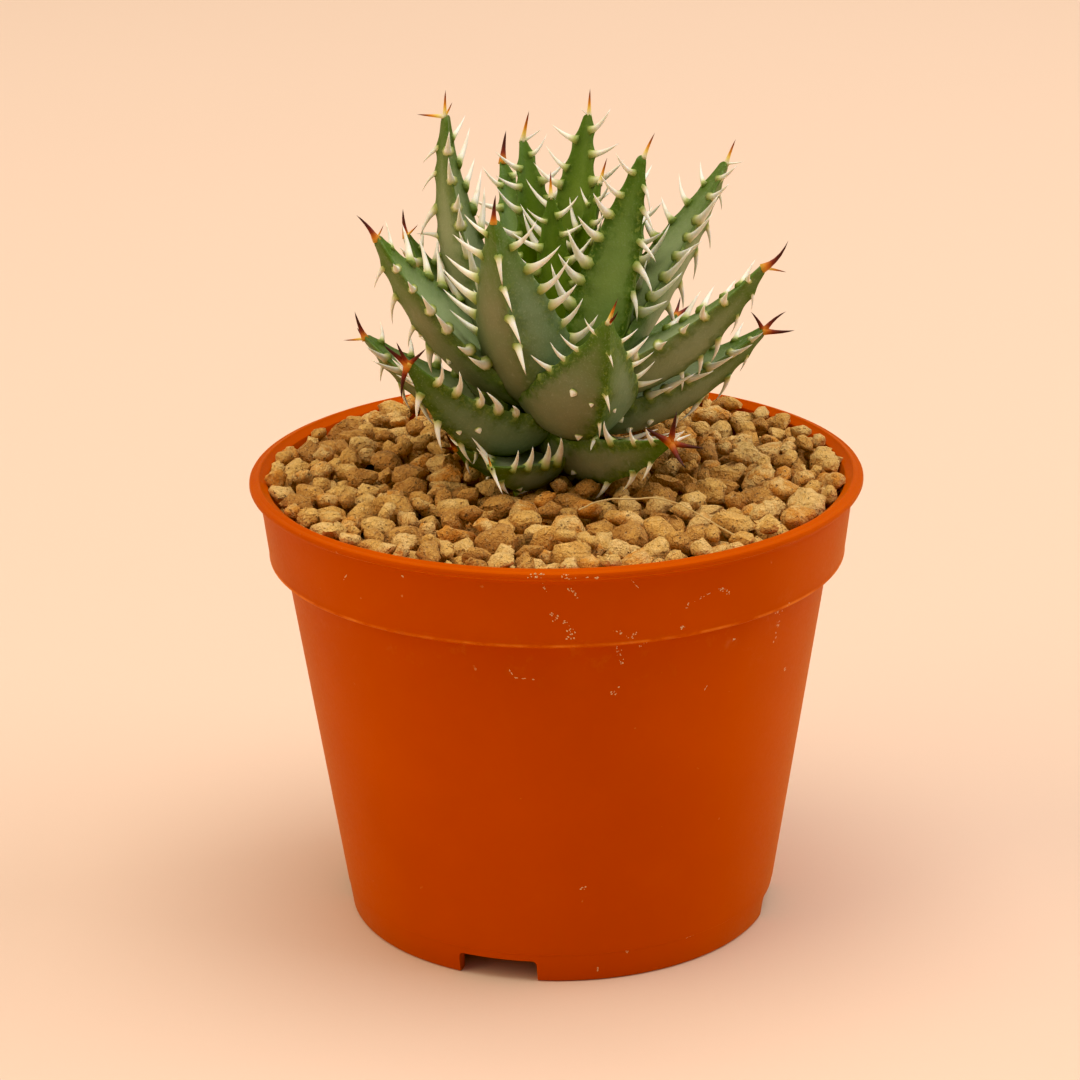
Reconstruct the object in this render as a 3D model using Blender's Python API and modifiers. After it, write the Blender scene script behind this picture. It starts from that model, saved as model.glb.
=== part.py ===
"""A small toothed aloe in a round nursery pot.

The pot is a thin moulded shell with a collar, a foot ring with four notches
and drain holes. It holds soil with gravel over it. The aloe's short stem stands
in a plain hole through both, and each leaf is a solid of its own with its teeth,
its keel teeth and its end spines grown into it. Units are metres, +Z is up, and
the origin is on the pot's axis at the surface that it stands on.
"""
import math
import random

import bmesh
import bpy
from mathutils import Matrix, Vector
from mathutils.bvhtree import BVHTree

MM = 0.001
CLEARANCE = 0.3 * MM
SEED = 7

# Pot
POT_HEIGHT = 68.0 * MM
LIP_RADIUS = 45.0 * MM
LIP_THICKNESS = 1.3 * MM
COLLAR_TOP_RADIUS = 43.6 * MM
COLLAR_EDGE_RADIUS = 42.4 * MM
COLLAR_EDGE_HEIGHT = 56.3 * MM
STEP_HEIGHT = 55.1 * MM
BODY_TOP_RADIUS = 40.07 * MM
COLLAR_SLOPE = (COLLAR_TOP_RADIUS - COLLAR_EDGE_RADIUS) / (POT_HEIGHT - COLLAR_EDGE_HEIGHT)
FOOT_RADIUS = 31.6 * MM
WALL = 1.1 * MM
COLLAR_EXTRA_WALL = 0.4 * MM
FLOOR_HEIGHT = 3.6 * MM
FLOOR_THICKNESS = 1.2 * MM
FOOT_RING_WIDTH = 2.0 * MM
POT_STEPS = 36
NOTCH_WIDTH = 11.8 * MM
NOTCH_HEIGHT = 3.4 * MM
NOTCH_DEPTH = 8.0 * MM
NOTCH_ANGLES = (252.6, 351.0, 72.6, 171.0)
DRAIN_RADIUS = 3.0 * MM
DRAIN_CIRCLE = 19.0 * MM
DRAIN_COUNT = 6
DRAIN_SIDES = 8

# Soil, gravel and stem
SOIL_TOP = 57.0 * MM
SOIL_STEPS = 32
STEM_STEPS = 16
STEM_RADIUS = 3.4 * MM
STEM_NECK_RADIUS = 3.0 * MM
STEM_FOOT = 40.0 * MM
STEM_STRAIGHT_TOP = 69.0 * MM
STEM_SHOULDER = 80.0 * MM
STEM_TOP = 81.4 * MM
GRAVEL_LEVEL = 64.0 * MM
GRAVEL_MOUND = 0.7 * MM
MOUND_RADIUS = 10.0 * MM
PEBBLE_SPACING = 8.0 * MM
PEBBLE_LENGTH = 4.8 * MM
PEBBLE_WIDTH = 3.9 * MM
PEBBLE_DEPTH = 2.6 * MM
PEBBLE_LIFT = 1.3 * MM
PEBBLE_RISE = 0.8 * MM
PEBBLE_DROPS = (0.0, 0.7, 1.4, 2.1, 2.8, 3.5)
STONE_GAP = 0.8 * MM
WALL_GAP = 0.1 * MM

# Leaf shape. Each station is the share of the leaf's length, then its width,
# its thickness and how sharp its keel is, as shares of the largest.
LEAF_STATIONS = (
    (0.00, 1.00, 0.70, 0.0),
    (0.12, 1.02, 0.90, 0.0),
    (0.26, 1.00, 1.00, 0.1),
    (0.42, 0.91, 0.93, 0.3),
    (0.58, 0.77, 0.79, 0.6),
    (0.73, 0.58, 0.60, 0.9),
    (0.87, 0.35, 0.38, 1.0),
    (1.00, 0.11, 0.17, 1.0),
)
DISH = 0.10
TOOTH_LENGTH = 4.6 * MM
TOOTH_RADIUS = 0.92 * MM
TOOTH_ROOT = 1.0 * MM
TOOTH_FROM = 0.22
TOOTH_TO = 0.98
TOOTH_PITCH = 5.8 * MM
KEEL_TOOTH_LENGTH = 3.7 * MM
KEEL_PITCH = 6.2 * MM
KEEL_FROM = 0.42
KEEL_TO = 0.97
END_SPINE_LENGTH = 4.2 * MM
SIDE_SPINE_LENGTH = 3.9 * MM
SIDE_SPINE_SHARE = 0.97
LOWEST_TOOTH = 65.8 * MM
TOOTH_BENDS = (0.5, 1.0, -0.5)

# One row for each leaf, from the heart outward, in degrees and millimetres: name,
# azimuth, its base's distance from the axis and height, its tip's distance from
# the axis and height, its lean where it starts, its turn about its own length,
# width, thickness, taper and side spines. Azimuth 0 is +X and 270 is the front. A
# taper above 1 narrows the upper half.
LEAVES = (
    ("leaf_01", 95.0, -1.2, 81.7, 3.0, 107.5, 85.0, 0.0, 7.0, 3.4, 1.0, 0),
    ("leaf_02", 40.0, 1.4, 81.7, 8.5, 109.0, 80.0, 0.0, 7.0, 3.4, 1.0, 0),
    ("leaf_03", 105.0, 2.2, 82.0, 16.0, 113.0, 75.0, 0.0, 8.0, 4.2, 1.0, 0),
    ("leaf_04", 66.0, 2.2, 82.0, 12.8, 117.5, 80.0, 0.0, 9.0, 4.2, 1.0, 0),
    ("leaf_05", 150.0, 3.8, 82.0, 17.3, 118.0, 47.0, 20.0, 13.0, 5.0, 1.0, 2),
    ("leaf_06", 15.0, 3.8, 82.0, 13.0, 113.0, 72.0, -50.0, 13.5, 5.0, 1.0, 0),
    ("leaf_07", 241.0, 3.8, 81.5, 16.8, 108.6, 50.0, 8.0, 14.5, 5.5, 1.0, 0),
    ("leaf_08", 33.0, 3.8, 82.0, 29.8, 109.0, 38.0, -8.0, 11.5, 5.0, 1.0, 0),
    ("leaf_09", 107.0, 3.8, 80.0, 24.5, 108.0, 50.0, 0.0, 8.0, 4.2, 1.0, 0),
    ("leaf_10", 195.0, 3.8, 82.0, 25.2, 104.2, 33.0, -20.0, 13.5, 5.5, 1.0, 1),
    ("leaf_11", 160.0, 3.8, 80.0, 22.2, 101.0, 35.0, 0.0, 11.4, 5.0, 1.15, 1),
    ("leaf_12", 345.0, 3.8, 82.5, 30.0, 99.8, 15.0, 0.0, 12.5, 5.0, 1.0, 1),
    ("leaf_13", 55.0, 3.8, 79.0, 22.0, 103.0, 40.0, 0.0, 12.0, 5.0, 1.0, 0),
    ("leaf_14", 292.0, 3.8, 79.6, 19.5, 95.0, 10.0, -12.0, 17.0, 6.4, 1.25, 1),
    ("leaf_15", 85.0, 3.8, 77.5, 29.0, 94.0, 20.0, 0.0, 13.0, 5.4, 1.0, 1),
    ("leaf_16", 5.0, 3.8, 77.5, 29.7, 87.6, 5.0, 0.0, 12.0, 5.6, 1.0, 3),
    ("leaf_17", 214.0, 3.8, 76.5, 24.4, 88.0, 0.0, 10.0, 12.0, 5.5, 1.0, 3),
    ("leaf_18", 133.0, 3.8, 77.0, 28.0, 92.0, 15.0, 0.0, 12.5, 5.4, 1.0, 1),
    ("leaf_19", 158.0, 3.8, 75.0, 29.4, 84.8, 5.0, 0.0, 11.0, 5.0, 1.0, 2),
    ("leaf_20", 52.0, 3.8, 74.5, 29.0, 84.0, 5.0, 0.0, 12.0, 5.0, 1.0, 2),
    ("leaf_21", 104.0, 3.8, 73.5, 29.5, 82.0, 0.0, 0.0, 11.5, 5.0, 1.0, 2),
    ("leaf_22", 311.0, 1.5, 73.2, 24.0, 77.8, -4.0, -18.0, 11.0, 5.4, 1.0, 3),
    ("leaf_23", 241.0, 3.8, 71.6, 18.3, 73.6, -6.0, 0.0, 10.0, 4.6, 1.0, 3),
    ("leaf_24", 205.0, 3.8, 71.0, 15.5, 73.4, -6.0, 0.0, 7.5, 3.6, 1.0, 1),
)


def new_material(name, colour, roughness):
    made = bpy.data.materials.new(name)
    made.use_nodes = True
    shader = made.node_tree.nodes["Principled BSDF"]
    shader.inputs["Base Color"].default_value = (*colour, 1.0)
    shader.inputs["Roughness"].default_value = roughness
    shader.inputs["Metallic"].default_value = 0.0
    made.diffuse_color = (*colour, 1.0)
    return made


def new_collection(name):
    made = bpy.data.collections.new(name)
    bpy.context.scene.collection.children.link(made)
    return made


def object_from_bmesh(name, shape, holder, material=None):
    mesh = bpy.data.meshes.new(name)
    shape.to_mesh(mesh)
    shape.free()
    made = bpy.data.objects.new(name, mesh)
    holder.objects.link(made)
    if material:
        mesh.materials.append(material)
    return made


def turned(name, profile, steps, holder, material=None, ring=True):
    """A profile of (radius, height) points turned about Z by a Screw modifier."""
    shape = bmesh.new()
    corners = [shape.verts.new((radius, 0.0, height)) for radius, height in profile]
    for first, second in zip(corners, corners[1:]):
        shape.edges.new((first, second))
    if ring:
        shape.edges.new((corners[-1], corners[0]))
    made = object_from_bmesh(name, shape, holder, material)
    screw = made.modifiers.new("turn", "SCREW")
    screw.steps = steps
    screw.render_steps = steps
    screw.use_merge_vertices = True
    screw.merge_threshold = 0.00001
    return made


def apply_modifiers(made):
    graph = bpy.context.evaluated_depsgraph_get()
    mesh = bpy.data.meshes.new_from_object(made.evaluated_get(graph))
    old = made.data
    made.modifiers.clear()
    made.data = mesh
    bpy.data.meshes.remove(old)


def boolean(made, operation, others, solver="EXACT"):
    """Joins or cuts with every object of a collection, then removes those objects."""
    if not others.objects:
        return
    change = made.modifiers.new("boolean", "BOOLEAN")
    change.operation = operation
    change.operand_type = "COLLECTION"
    change.collection = others
    change.solver = solver
    apply_modifiers(made)
    for used in list(others.objects):
        mesh = used.data
        bpy.data.objects.remove(used)
        bpy.data.meshes.remove(mesh)


def keep_largest(made):
    """Drops the loose scraps that a cut leaves, and keeps the largest body."""
    shape = bmesh.new()
    shape.from_mesh(made.data)
    left = set(shape.verts)
    bodies = []
    while left:
        start = left.pop()
        body = {start}
        unread = [start]
        while unread:
            corner = unread.pop()
            for edge in corner.link_edges:
                other = edge.other_vert(corner)
                if other in left:
                    left.remove(other)
                    body.add(other)
                    unread.append(other)
        bodies.append(body)
    bodies.sort(key=len)
    for body in bodies[:-1]:
        bmesh.ops.delete(shape, geom=list(body), context="VERTS")
    bmesh.ops.triangulate(shape, faces=shape.faces)
    shape.to_mesh(made.data)
    shape.free()


def shade_round(made, angle=35.0):
    made.data.shade_smooth()
    made.data.set_sharp_from_angle(angle=math.radians(angle))


def body_radius(height):
    """Outer radius of the pot's tapered body at a height."""
    share = height / STEP_HEIGHT
    return FOOT_RADIUS + (BODY_TOP_RADIUS - FOOT_RADIUS) * share


def inner_profile(floor, top, gap):
    """The pot's inner wall from a floor to a height in the collar, with a gap to it."""
    inset = WALL + gap
    points = [(body_radius(floor) - inset, floor)]
    points.append((BODY_TOP_RADIUS - inset, STEP_HEIGHT + gap / 2.0))
    collar = COLLAR_EDGE_RADIUS - inset - COLLAR_EXTRA_WALL
    points.append((collar, COLLAR_EDGE_HEIGHT + 0.5 * MM + gap / 2.0))
    points.append((collar + COLLAR_SLOPE * (top - COLLAR_EDGE_HEIGHT), top))
    return points


def make_pot(holder, cutters, material):
    """The moulded shell: lip, collar, tapered body, foot ring and raised floor."""
    lip_low = POT_HEIGHT - 1.5 * LIP_THICKNESS
    step = COLLAR_EDGE_RADIUS - BODY_TOP_RADIUS
    rise = COLLAR_EDGE_HEIGHT - STEP_HEIGHT
    outer = [
        (LIP_RADIUS - LIP_THICKNESS * 0.75, POT_HEIGHT),
        (LIP_RADIUS - LIP_THICKNESS * 0.25, POT_HEIGHT - LIP_THICKNESS * 0.2),
        (LIP_RADIUS, POT_HEIGHT - LIP_THICKNESS * 0.7),
        (LIP_RADIUS - LIP_THICKNESS * 0.3, lip_low + LIP_THICKNESS * 0.3),
        (COLLAR_TOP_RADIUS, lip_low),
        (COLLAR_EDGE_RADIUS, COLLAR_EDGE_HEIGHT),
        (COLLAR_EDGE_RADIUS - step * 0.06, STEP_HEIGHT + rise * 0.75),
        (COLLAR_EDGE_RADIUS - step * 0.88, STEP_HEIGHT + rise * 0.29),
        (BODY_TOP_RADIUS, STEP_HEIGHT),
        (FOOT_RADIUS + 0.2 * MM, 0.5 * MM),
        (FOOT_RADIUS - 0.4 * MM, 0.0),
    ]
    foot = [
        (FOOT_RADIUS - FOOT_RING_WIDTH, 0.0),
        (FOOT_RADIUS - FOOT_RING_WIDTH, FLOOR_HEIGHT),
        (0.0, FLOOR_HEIGHT),
        (0.0, FLOOR_HEIGHT + FLOOR_THICKNESS),
    ]
    inner = inner_profile(FLOOR_HEIGHT + FLOOR_THICKNESS, POT_HEIGHT - 1.0 * MM, 0.0)
    lip_inside = [(LIP_RADIUS - LIP_THICKNESS * 1.25, POT_HEIGHT - LIP_THICKNESS * 0.2)]
    pot = turned("pot", outer + foot + inner + lip_inside, POT_STEPS, holder, material)
    for index, angle in enumerate(NOTCH_ANGLES):
        turn = Matrix.Rotation(math.radians(angle), 4, "Z")
        shape = bmesh.new()
        bmesh.ops.create_cube(shape, size=1.0)
        size = Matrix.Diagonal((NOTCH_DEPTH, NOTCH_WIDTH, 2.0 * NOTCH_HEIGHT, 1.0))
        place = Matrix.Translation((FOOT_RADIUS, 0.0, 0.0))
        bmesh.ops.transform(shape, matrix=turn @ place @ size, verts=shape.verts)
        object_from_bmesh("notch_%d" % index, shape, cutters)
    for index in range(DRAIN_COUNT + 1):
        turn = Matrix.Rotation(index * math.tau / DRAIN_COUNT, 4, "Z")
        reach = DRAIN_CIRCLE if index < DRAIN_COUNT else 0.0
        shape = bmesh.new()
        bmesh.ops.create_cone(
            shape,
            cap_ends=True,
            segments=DRAIN_SIDES,
            radius1=DRAIN_RADIUS,
            radius2=DRAIN_RADIUS,
            depth=4.0 * FLOOR_THICKNESS,
        )
        place = Matrix.Translation((reach, 0.0, FLOOR_HEIGHT + FLOOR_THICKNESS / 2.0))
        bmesh.ops.transform(shape, matrix=turn @ place, verts=shape.verts)
        object_from_bmesh("drain_%d" % index, shape, cutters)
    boolean(pot, "DIFFERENCE", cutters)
    keep_largest(pot)
    shade_round(pot)
    return pot


def make_soil(holder, material):
    """Potting soil up to the gravel, with a blind hole for the stem's foot."""
    hole = STEM_RADIUS + CLEARANCE
    hole_foot = STEM_FOOT - CLEARANCE
    wall = inner_profile(FLOOR_HEIGHT + FLOOR_THICKNESS + CLEARANCE, SOIL_TOP, CLEARANCE)
    wall.reverse()
    profile = [(0.0, hole_foot), (hole, hole_foot), (hole, SOIL_TOP)]
    profile += wall + [(0.0, wall[-1][1])]
    soil = turned("potting_soil", profile, SOIL_STEPS, holder, material, ring=False)
    apply_modifiers(soil)
    keep_largest(soil)
    return soil


def stem_profile(gap):
    """From the stem's domed top down its outer side to its foot, grown by a gap."""
    return [
        (0.0, STEM_TOP + gap),
        (STEM_NECK_RADIUS * 0.6, STEM_TOP - 0.3 * MM + gap),
        (STEM_NECK_RADIUS + gap, STEM_SHOULDER),
        (STEM_RADIUS + gap, STEM_STRAIGHT_TOP),
        (STEM_RADIUS + gap, STEM_FOOT),
        (0.0, STEM_FOOT),
    ]


def make_stem(holder, material):
    """The short stem that the leaves stand round, domed under the heart."""
    stem = turned("stem", stem_profile(0.0), STEM_STEPS, holder, material, ring=False)
    apply_modifiers(stem)
    keep_largest(stem)
    shade_round(stem)
    return stem


class Leaf:
    """One leaf's design: a curved rib, and sections set across it."""

    def __init__(self, row):
        name, azimuth, base_reach, base_height, tip_reach, tip_height = row[:6]
        lean, turn, width, thickness, taper, tip_spines = row[6:]
        azimuth = math.radians(azimuth)
        lean = math.radians(lean)
        self.name = name
        self.width = width * MM
        self.thickness = thickness * MM
        self.taper = taper
        self.turn = math.radians(turn)
        self.tip_spines = tip_spines
        self.outward = Vector((math.cos(azimuth), math.sin(azimuth), 0.0))
        self.sideways = Vector((-math.sin(azimuth), math.cos(azimuth), 0.0))
        up = Vector((0.0, 0.0, 1.0))
        self.start = (self.outward * base_reach + up * base_height) * MM
        self.end = (self.outward * tip_reach + up * tip_height) * MM
        self.length = (self.end - self.start).length
        heading = self.outward * math.cos(lean) + up * math.sin(lean)
        self.middle = self.start + heading * self.length * 0.5

    def frame(self, share):
        """Point on the rib, and the directions along, across and off its upper face."""
        rest = 1.0 - share
        point = self.start * rest * rest
        point += self.middle * 2.0 * share * rest
        point += self.end * share * share
        along = (self.middle - self.start) * rest + (self.end - self.middle) * share
        along.normalize()
        across = self.sideways - along * along.dot(self.sideways)
        across.normalize()
        above = along.cross(across)
        turned_across = across * math.cos(self.turn) + above * math.sin(self.turn)
        turned_above = above * math.cos(self.turn) - across * math.sin(self.turn)
        return point, along, turned_across, turned_above

    def sizes(self, share):
        """Half width, thickness, keel sharpness and how far the edges stand up."""
        for low, high in zip(LEAF_STATIONS, LEAF_STATIONS[1:]):
            if share <= high[0]:
                break
        part = (share - low[0]) / (high[0] - low[0])
        values = [a + (b - a) * part for a, b in zip(low, high)]
        half = self.width * values[1] ** self.taper / 2.0
        lift = DISH * 2.0 * half * min(1.0, (1.0 - share) * 4.0)
        return half, self.thickness * values[2], values[3], lift

    def section(self, share, swell=0.0):
        """Eight points round the leaf: edge, dished face, edge and keeled back."""
        point, along, across, above = self.frame(share)
        half, thick, keel, lift = self.sizes(share)
        half += swell
        back = thick + swell
        outline = (
            (half, lift + swell * 0.6),
            (0.0, swell - lift * 0.3),
            (-half, lift + swell * 0.6),
            (-half * (0.80 - 0.10 * keel), -back * (0.58 - 0.14 * keel)),
            (-half * 0.40, -back * (0.92 - 0.16 * keel)),
            (0.0, -back),
            (half * 0.40, -back * (0.92 - 0.16 * keel)),
            (half * (0.80 - 0.10 * keel), -back * (0.58 - 0.14 * keel)),
        )
        return [point + across * side + above * rise for side, rise in outline]

    def body(self, name, holder, material=None, swell=0.0):
        """A loft through the stations that narrows into the end spine."""
        shape = bmesh.new()
        rings = []
        for station in LEAF_STATIONS:
            corners = [shape.verts.new(spot) for spot in self.section(station[0], swell)]
            rings.append(corners)
        for low, high in zip(rings, rings[1:]):
            for index in range(len(low)):
                after = (index + 1) % len(low)
                shape.faces.new((low[index], low[after], high[after], high[index]))
        shape.faces.new(reversed(rings[0]))
        point, along, across, above = self.frame(1.0)
        spine_tip = shape.verts.new(point + along * (END_SPINE_LENGTH + swell))
        for index in range(len(rings[-1])):
            after = (index + 1) % len(rings[-1])
            shape.faces.new((rings[-1][index], rings[-1][after], spine_tip))
        bmesh.ops.recalc_face_normals(shape, faces=shape.faces)
        return object_from_bmesh(name, shape, holder, material)

    def teeth(self):
        """Root, direction and length of each tooth, and the way it may be bent clear."""
        found = []
        steps = max(3, round(self.length * (TOOTH_TO - TOOTH_FROM) / TOOTH_PITCH))
        for side, offset in ((1.0, 0.15), (-1.0, 0.55)):
            for index in range(steps):
                share = TOOTH_FROM + (TOOTH_TO - TOOTH_FROM) * (index + offset) / steps
                point, along, across, above = self.frame(share)
                half, thick, keel, lift = self.sizes(share)
                root = point + across * side * half * 0.96 + above * (lift * 0.9 - 0.15 * MM)
                way = across * side + along * 0.30 + above * 0.15
                length = TOOTH_LENGTH * (1.0 - 0.35 * max(0.0, (share - 0.55) / 0.45))
                found.append((root, way.normalized(), length, (along, above)))
        keels = max(1, round(self.length * (KEEL_TO - KEEL_FROM) / KEEL_PITCH))
        for index in range(keels):
            share = KEEL_FROM + (KEEL_TO - KEEL_FROM) * (index + 0.45) / keels
            point, along, across, above = self.frame(share)
            half, thick, keel, lift = self.sizes(share)
            root = point - above * thick * 0.95
            way = along * 0.10 - above
            found.append((root, way.normalized(), KEEL_TOOTH_LENGTH, (along, across)))
        point, along, across, above = self.frame(SIDE_SPINE_SHARE)
        for index in range(self.tip_spines):
            angle = math.tau * (index + 0.25) / max(2, self.tip_spines)
            way = across * math.cos(angle) + above * math.sin(angle) + along * 0.5
            found.append((point, way.normalized(), SIDE_SPINE_LENGTH, (along, -along)))
        return found


def tooth_mesh(name, root, way, length, holder):
    """A three-sided tooth, its root sunk in the leaf and its tip pointed."""
    shape = bmesh.new()
    bmesh.ops.create_cone(
        shape,
        cap_ends=True,
        segments=3,
        radius1=TOOTH_RADIUS,
        radius2=0.0,
        depth=length + TOOTH_ROOT,
    )
    bmesh.ops.remove_doubles(shape, verts=shape.verts, dist=0.001 * MM)
    turn = way.to_track_quat("Z", "Y").to_matrix().to_4x4()
    centre = root + way * (length - TOOTH_ROOT) / 2.0
    bmesh.ops.transform(shape, matrix=Matrix.Translation(centre) @ turn, verts=shape.verts)
    return object_from_bmesh(name, shape, holder)


def surface_tree(made):
    mesh = made.data
    corners = [corner.co.copy() for corner in mesh.vertices]
    faces = [tuple(face.vertices) for face in mesh.polygons]
    return BVHTree.FromPolygons(corners, faces)


def too_near(spot, radius, trees, skip=None):
    """True where a round spot comes within the clearance of a surface, or is inside."""
    for name, tree in trees.items():
        if name == skip:
            continue
        found, normal, index, distance = tree.find_nearest(spot, radius + 1.3 * CLEARANCE)
        if found is not None:
            return True
        found, normal, index, distance = tree.ray_cast(spot, Vector((0.0, 0.0, 1.0)))
        if found is not None and normal.z > 0.0:
            return True
    return False


def tooth_spots(root, way, length):
    """Spots along a tooth from just off its root to its tip, with its radius at each."""
    shares = (0.0, 0.14, 0.28, 0.42, 0.56, 0.70, 0.85, 1.0)
    return [(root + way * length * share, TOOTH_RADIUS * (1.0 - share)) for share in shares]


def hits_other_teeth(spots, placed, name):
    for other_name, other_spot, other_radius in placed:
        if other_name == name:
            continue
        for spot, radius in spots:
            if (spot - other_spot).length < radius + other_radius + 1.5 * CLEARANCE:
                return True
    return False


def make_leaves(holder, cutters, material):
    """Leaves from the heart outward, each cut clear of those that it wraps round."""
    designs = [Leaf(row) for row in LEAVES]
    made = {}
    for index, design in enumerate(designs):
        leaf = design.body(design.name, holder, material)
        for inner in designs[:index]:
            inner.body("cut_" + inner.name, cutters, swell=1.25 * CLEARANCE)
        cut_stem = turned("cut_stem", stem_profile(CLEARANCE), STEM_STEPS, cutters, ring=False)
        apply_modifiers(cut_stem)
        boolean(leaf, "DIFFERENCE", cutters)
        keep_largest(leaf)
        made[design.name] = leaf
    trees = {name: surface_tree(leaf) for name, leaf in made.items()}
    placed = []
    for design in designs:
        count = 0
        own = trees[design.name]
        for root, way, length, bends in design.teeth():
            found, normal, index, distance = own.find_nearest(root, 1.0 * MM)
            if found is None:
                continue
            choices = [way]
            for bend in bends:
                for amount in TOOTH_BENDS:
                    choices.append((way + bend * amount).normalized())
            for choice in choices:
                spots = tooth_spots(root, choice, length)
                blocked = any(too_near(s, r, trees, design.name) for s, r in spots)
                low = min(spot.z for spot, radius in spots) < LOWEST_TOOTH
                if blocked or low or hits_other_teeth(spots, placed, design.name):
                    continue
                tooth_mesh("tooth_%d" % count, root, choice, length, cutters)
                placed += [(design.name, spot, radius) for spot, radius in spots]
                count += 1
                break
        boolean(made[design.name], "UNION", cutters)
        keep_largest(made[design.name])
        shade_round(made[design.name], 50.0)
    return made


def stone_mesh(turn, jitter, size):
    """A rounded, slightly lopsided stone with a few flat faces."""
    shape = bmesh.new()
    bmesh.ops.create_icosphere(shape, subdivisions=1, radius=1.0)
    for corner, amount in zip(shape.verts, jitter):
        corner.co *= amount * size
        corner.co.x *= PEBBLE_LENGTH
        corner.co.y *= PEBBLE_WIDTH
        corner.co.z *= PEBBLE_DEPTH
    bmesh.ops.transform(shape, matrix=turn, verts=shape.verts)
    return shape


def meets_a_leaf(shape, centre, trees):
    """True where a stone, grown by its clearance all round, crosses a leaf."""
    grown = shape.copy()
    for corner in grown.verts:
        corner.co += (corner.co - centre).normalized() * 1.5 * CLEARANCE
    tree = BVHTree.FromBMesh(grown)
    grown.free()
    return any(tree.overlap(leaf) for leaf in trees.values())


def make_gravel(holder, cutters, material, leaves):
    """A bed with rounded stones half sunk in its top, lower under the low leaves."""
    draw = random.Random(SEED)
    hole = STEM_RADIUS + CLEARANCE
    wall = inner_profile(SOIL_TOP + CLEARANCE, GRAVEL_LEVEL, CLEARANCE)
    wall = [spot for spot in wall if spot[1] > SOIL_TOP + 0.1 * MM]
    rim = wall[-1][0]
    foot = rim - COLLAR_SLOPE * (GRAVEL_LEVEL - SOIL_TOP)
    profile = [
        (hole, GRAVEL_LEVEL + GRAVEL_MOUND),
        (MOUND_RADIUS, GRAVEL_LEVEL + GRAVEL_MOUND),
        (rim, GRAVEL_LEVEL),
        (foot, SOIL_TOP + CLEARANCE),
        (hole, SOIL_TOP + CLEARANCE),
    ]
    gravel = turned("gravel", profile, POT_STEPS, holder, material)
    apply_modifiers(gravel)
    trees = {name: surface_tree(leaf) for name, leaf in leaves.items()}
    rows = int(rim / (PEBBLE_SPACING * 0.866)) + 1
    for row in range(-rows, rows + 1):
        for column in range(-rows - 2, rows + 3):
            x = (column + 0.5 * (row % 2)) * PEBBLE_SPACING
            y = row * PEBBLE_SPACING * 0.866
            x += draw.uniform(-0.18, 0.18) * PEBBLE_SPACING
            y += draw.uniform(-0.18, 0.18) * PEBBLE_SPACING
            size = draw.uniform(0.82, 1.12)
            spin = draw.uniform(0.0, math.tau)
            tilt = draw.uniform(-0.35, 0.35)
            lift = PEBBLE_LIFT + draw.uniform(-0.5, 1.0) * PEBBLE_RISE
            jitter = [draw.uniform(0.84, 1.12) for corner in range(12)]
            reach = math.hypot(x, y)
            if reach < hole or reach > rim:
                continue
            level = GRAVEL_LEVEL + GRAVEL_MOUND * min(1.0, (rim - reach) / (rim - MOUND_RADIUS))
            turn = Matrix.Rotation(spin, 4, "Z") @ Matrix.Rotation(tilt, 4, "X")
            for drop in PEBBLE_DROPS:
                centre = Vector((x, y, level + lift - drop * MM))
                shape = stone_mesh(turn, jitter, size)
                outward = Vector((x, y, 0.0)).normalized()
                reaches = [(corner.co + centre).to_2d().length for corner in shape.verts]
                centre += outward * max(0.0, hole + STONE_GAP - min(reaches))
                centre -= outward * max(0.0, max(reaches) - rim + WALL_GAP)
                bmesh.ops.translate(shape, vec=centre, verts=shape.verts)
                if meets_a_leaf(shape, centre, trees):
                    shape.free()
                    continue
                object_from_bmesh("stone", shape, cutters)
                break
    boolean(gravel, "UNION", cutters, solver="MANIFOLD")
    keep_largest(gravel)
    shade_round(gravel, 40.0)
    return gravel


for leftover in list(bpy.data.objects):
    bpy.data.objects.remove(leftover)

parts = new_collection("potted_aloe")
tools = new_collection("cutters")

plastic = new_material("orange_plastic", (0.46, 0.075, 0.006), 0.42)
earth = new_material("soil", (0.045, 0.028, 0.018), 0.95)
stones = new_material("gravel", (0.52, 0.34, 0.14), 0.9)
wood = new_material("stem_skin", (0.16, 0.13, 0.06), 0.8)
skin = new_material("leaf_skin", (0.12, 0.19, 0.10), 0.5)

make_pot(parts, tools, plastic)
make_soil(parts, earth)
make_stem(parts, wood)
leaf_objects = make_leaves(parts, tools, skin)
make_gravel(parts, tools, stones, leaf_objects)
bpy.data.collections.remove(tools)
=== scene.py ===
import math
import random

import bpy
import numpy as np
from mathutils import Matrix, Vector
from mathutils.bvhtree import BVHTree


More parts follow.
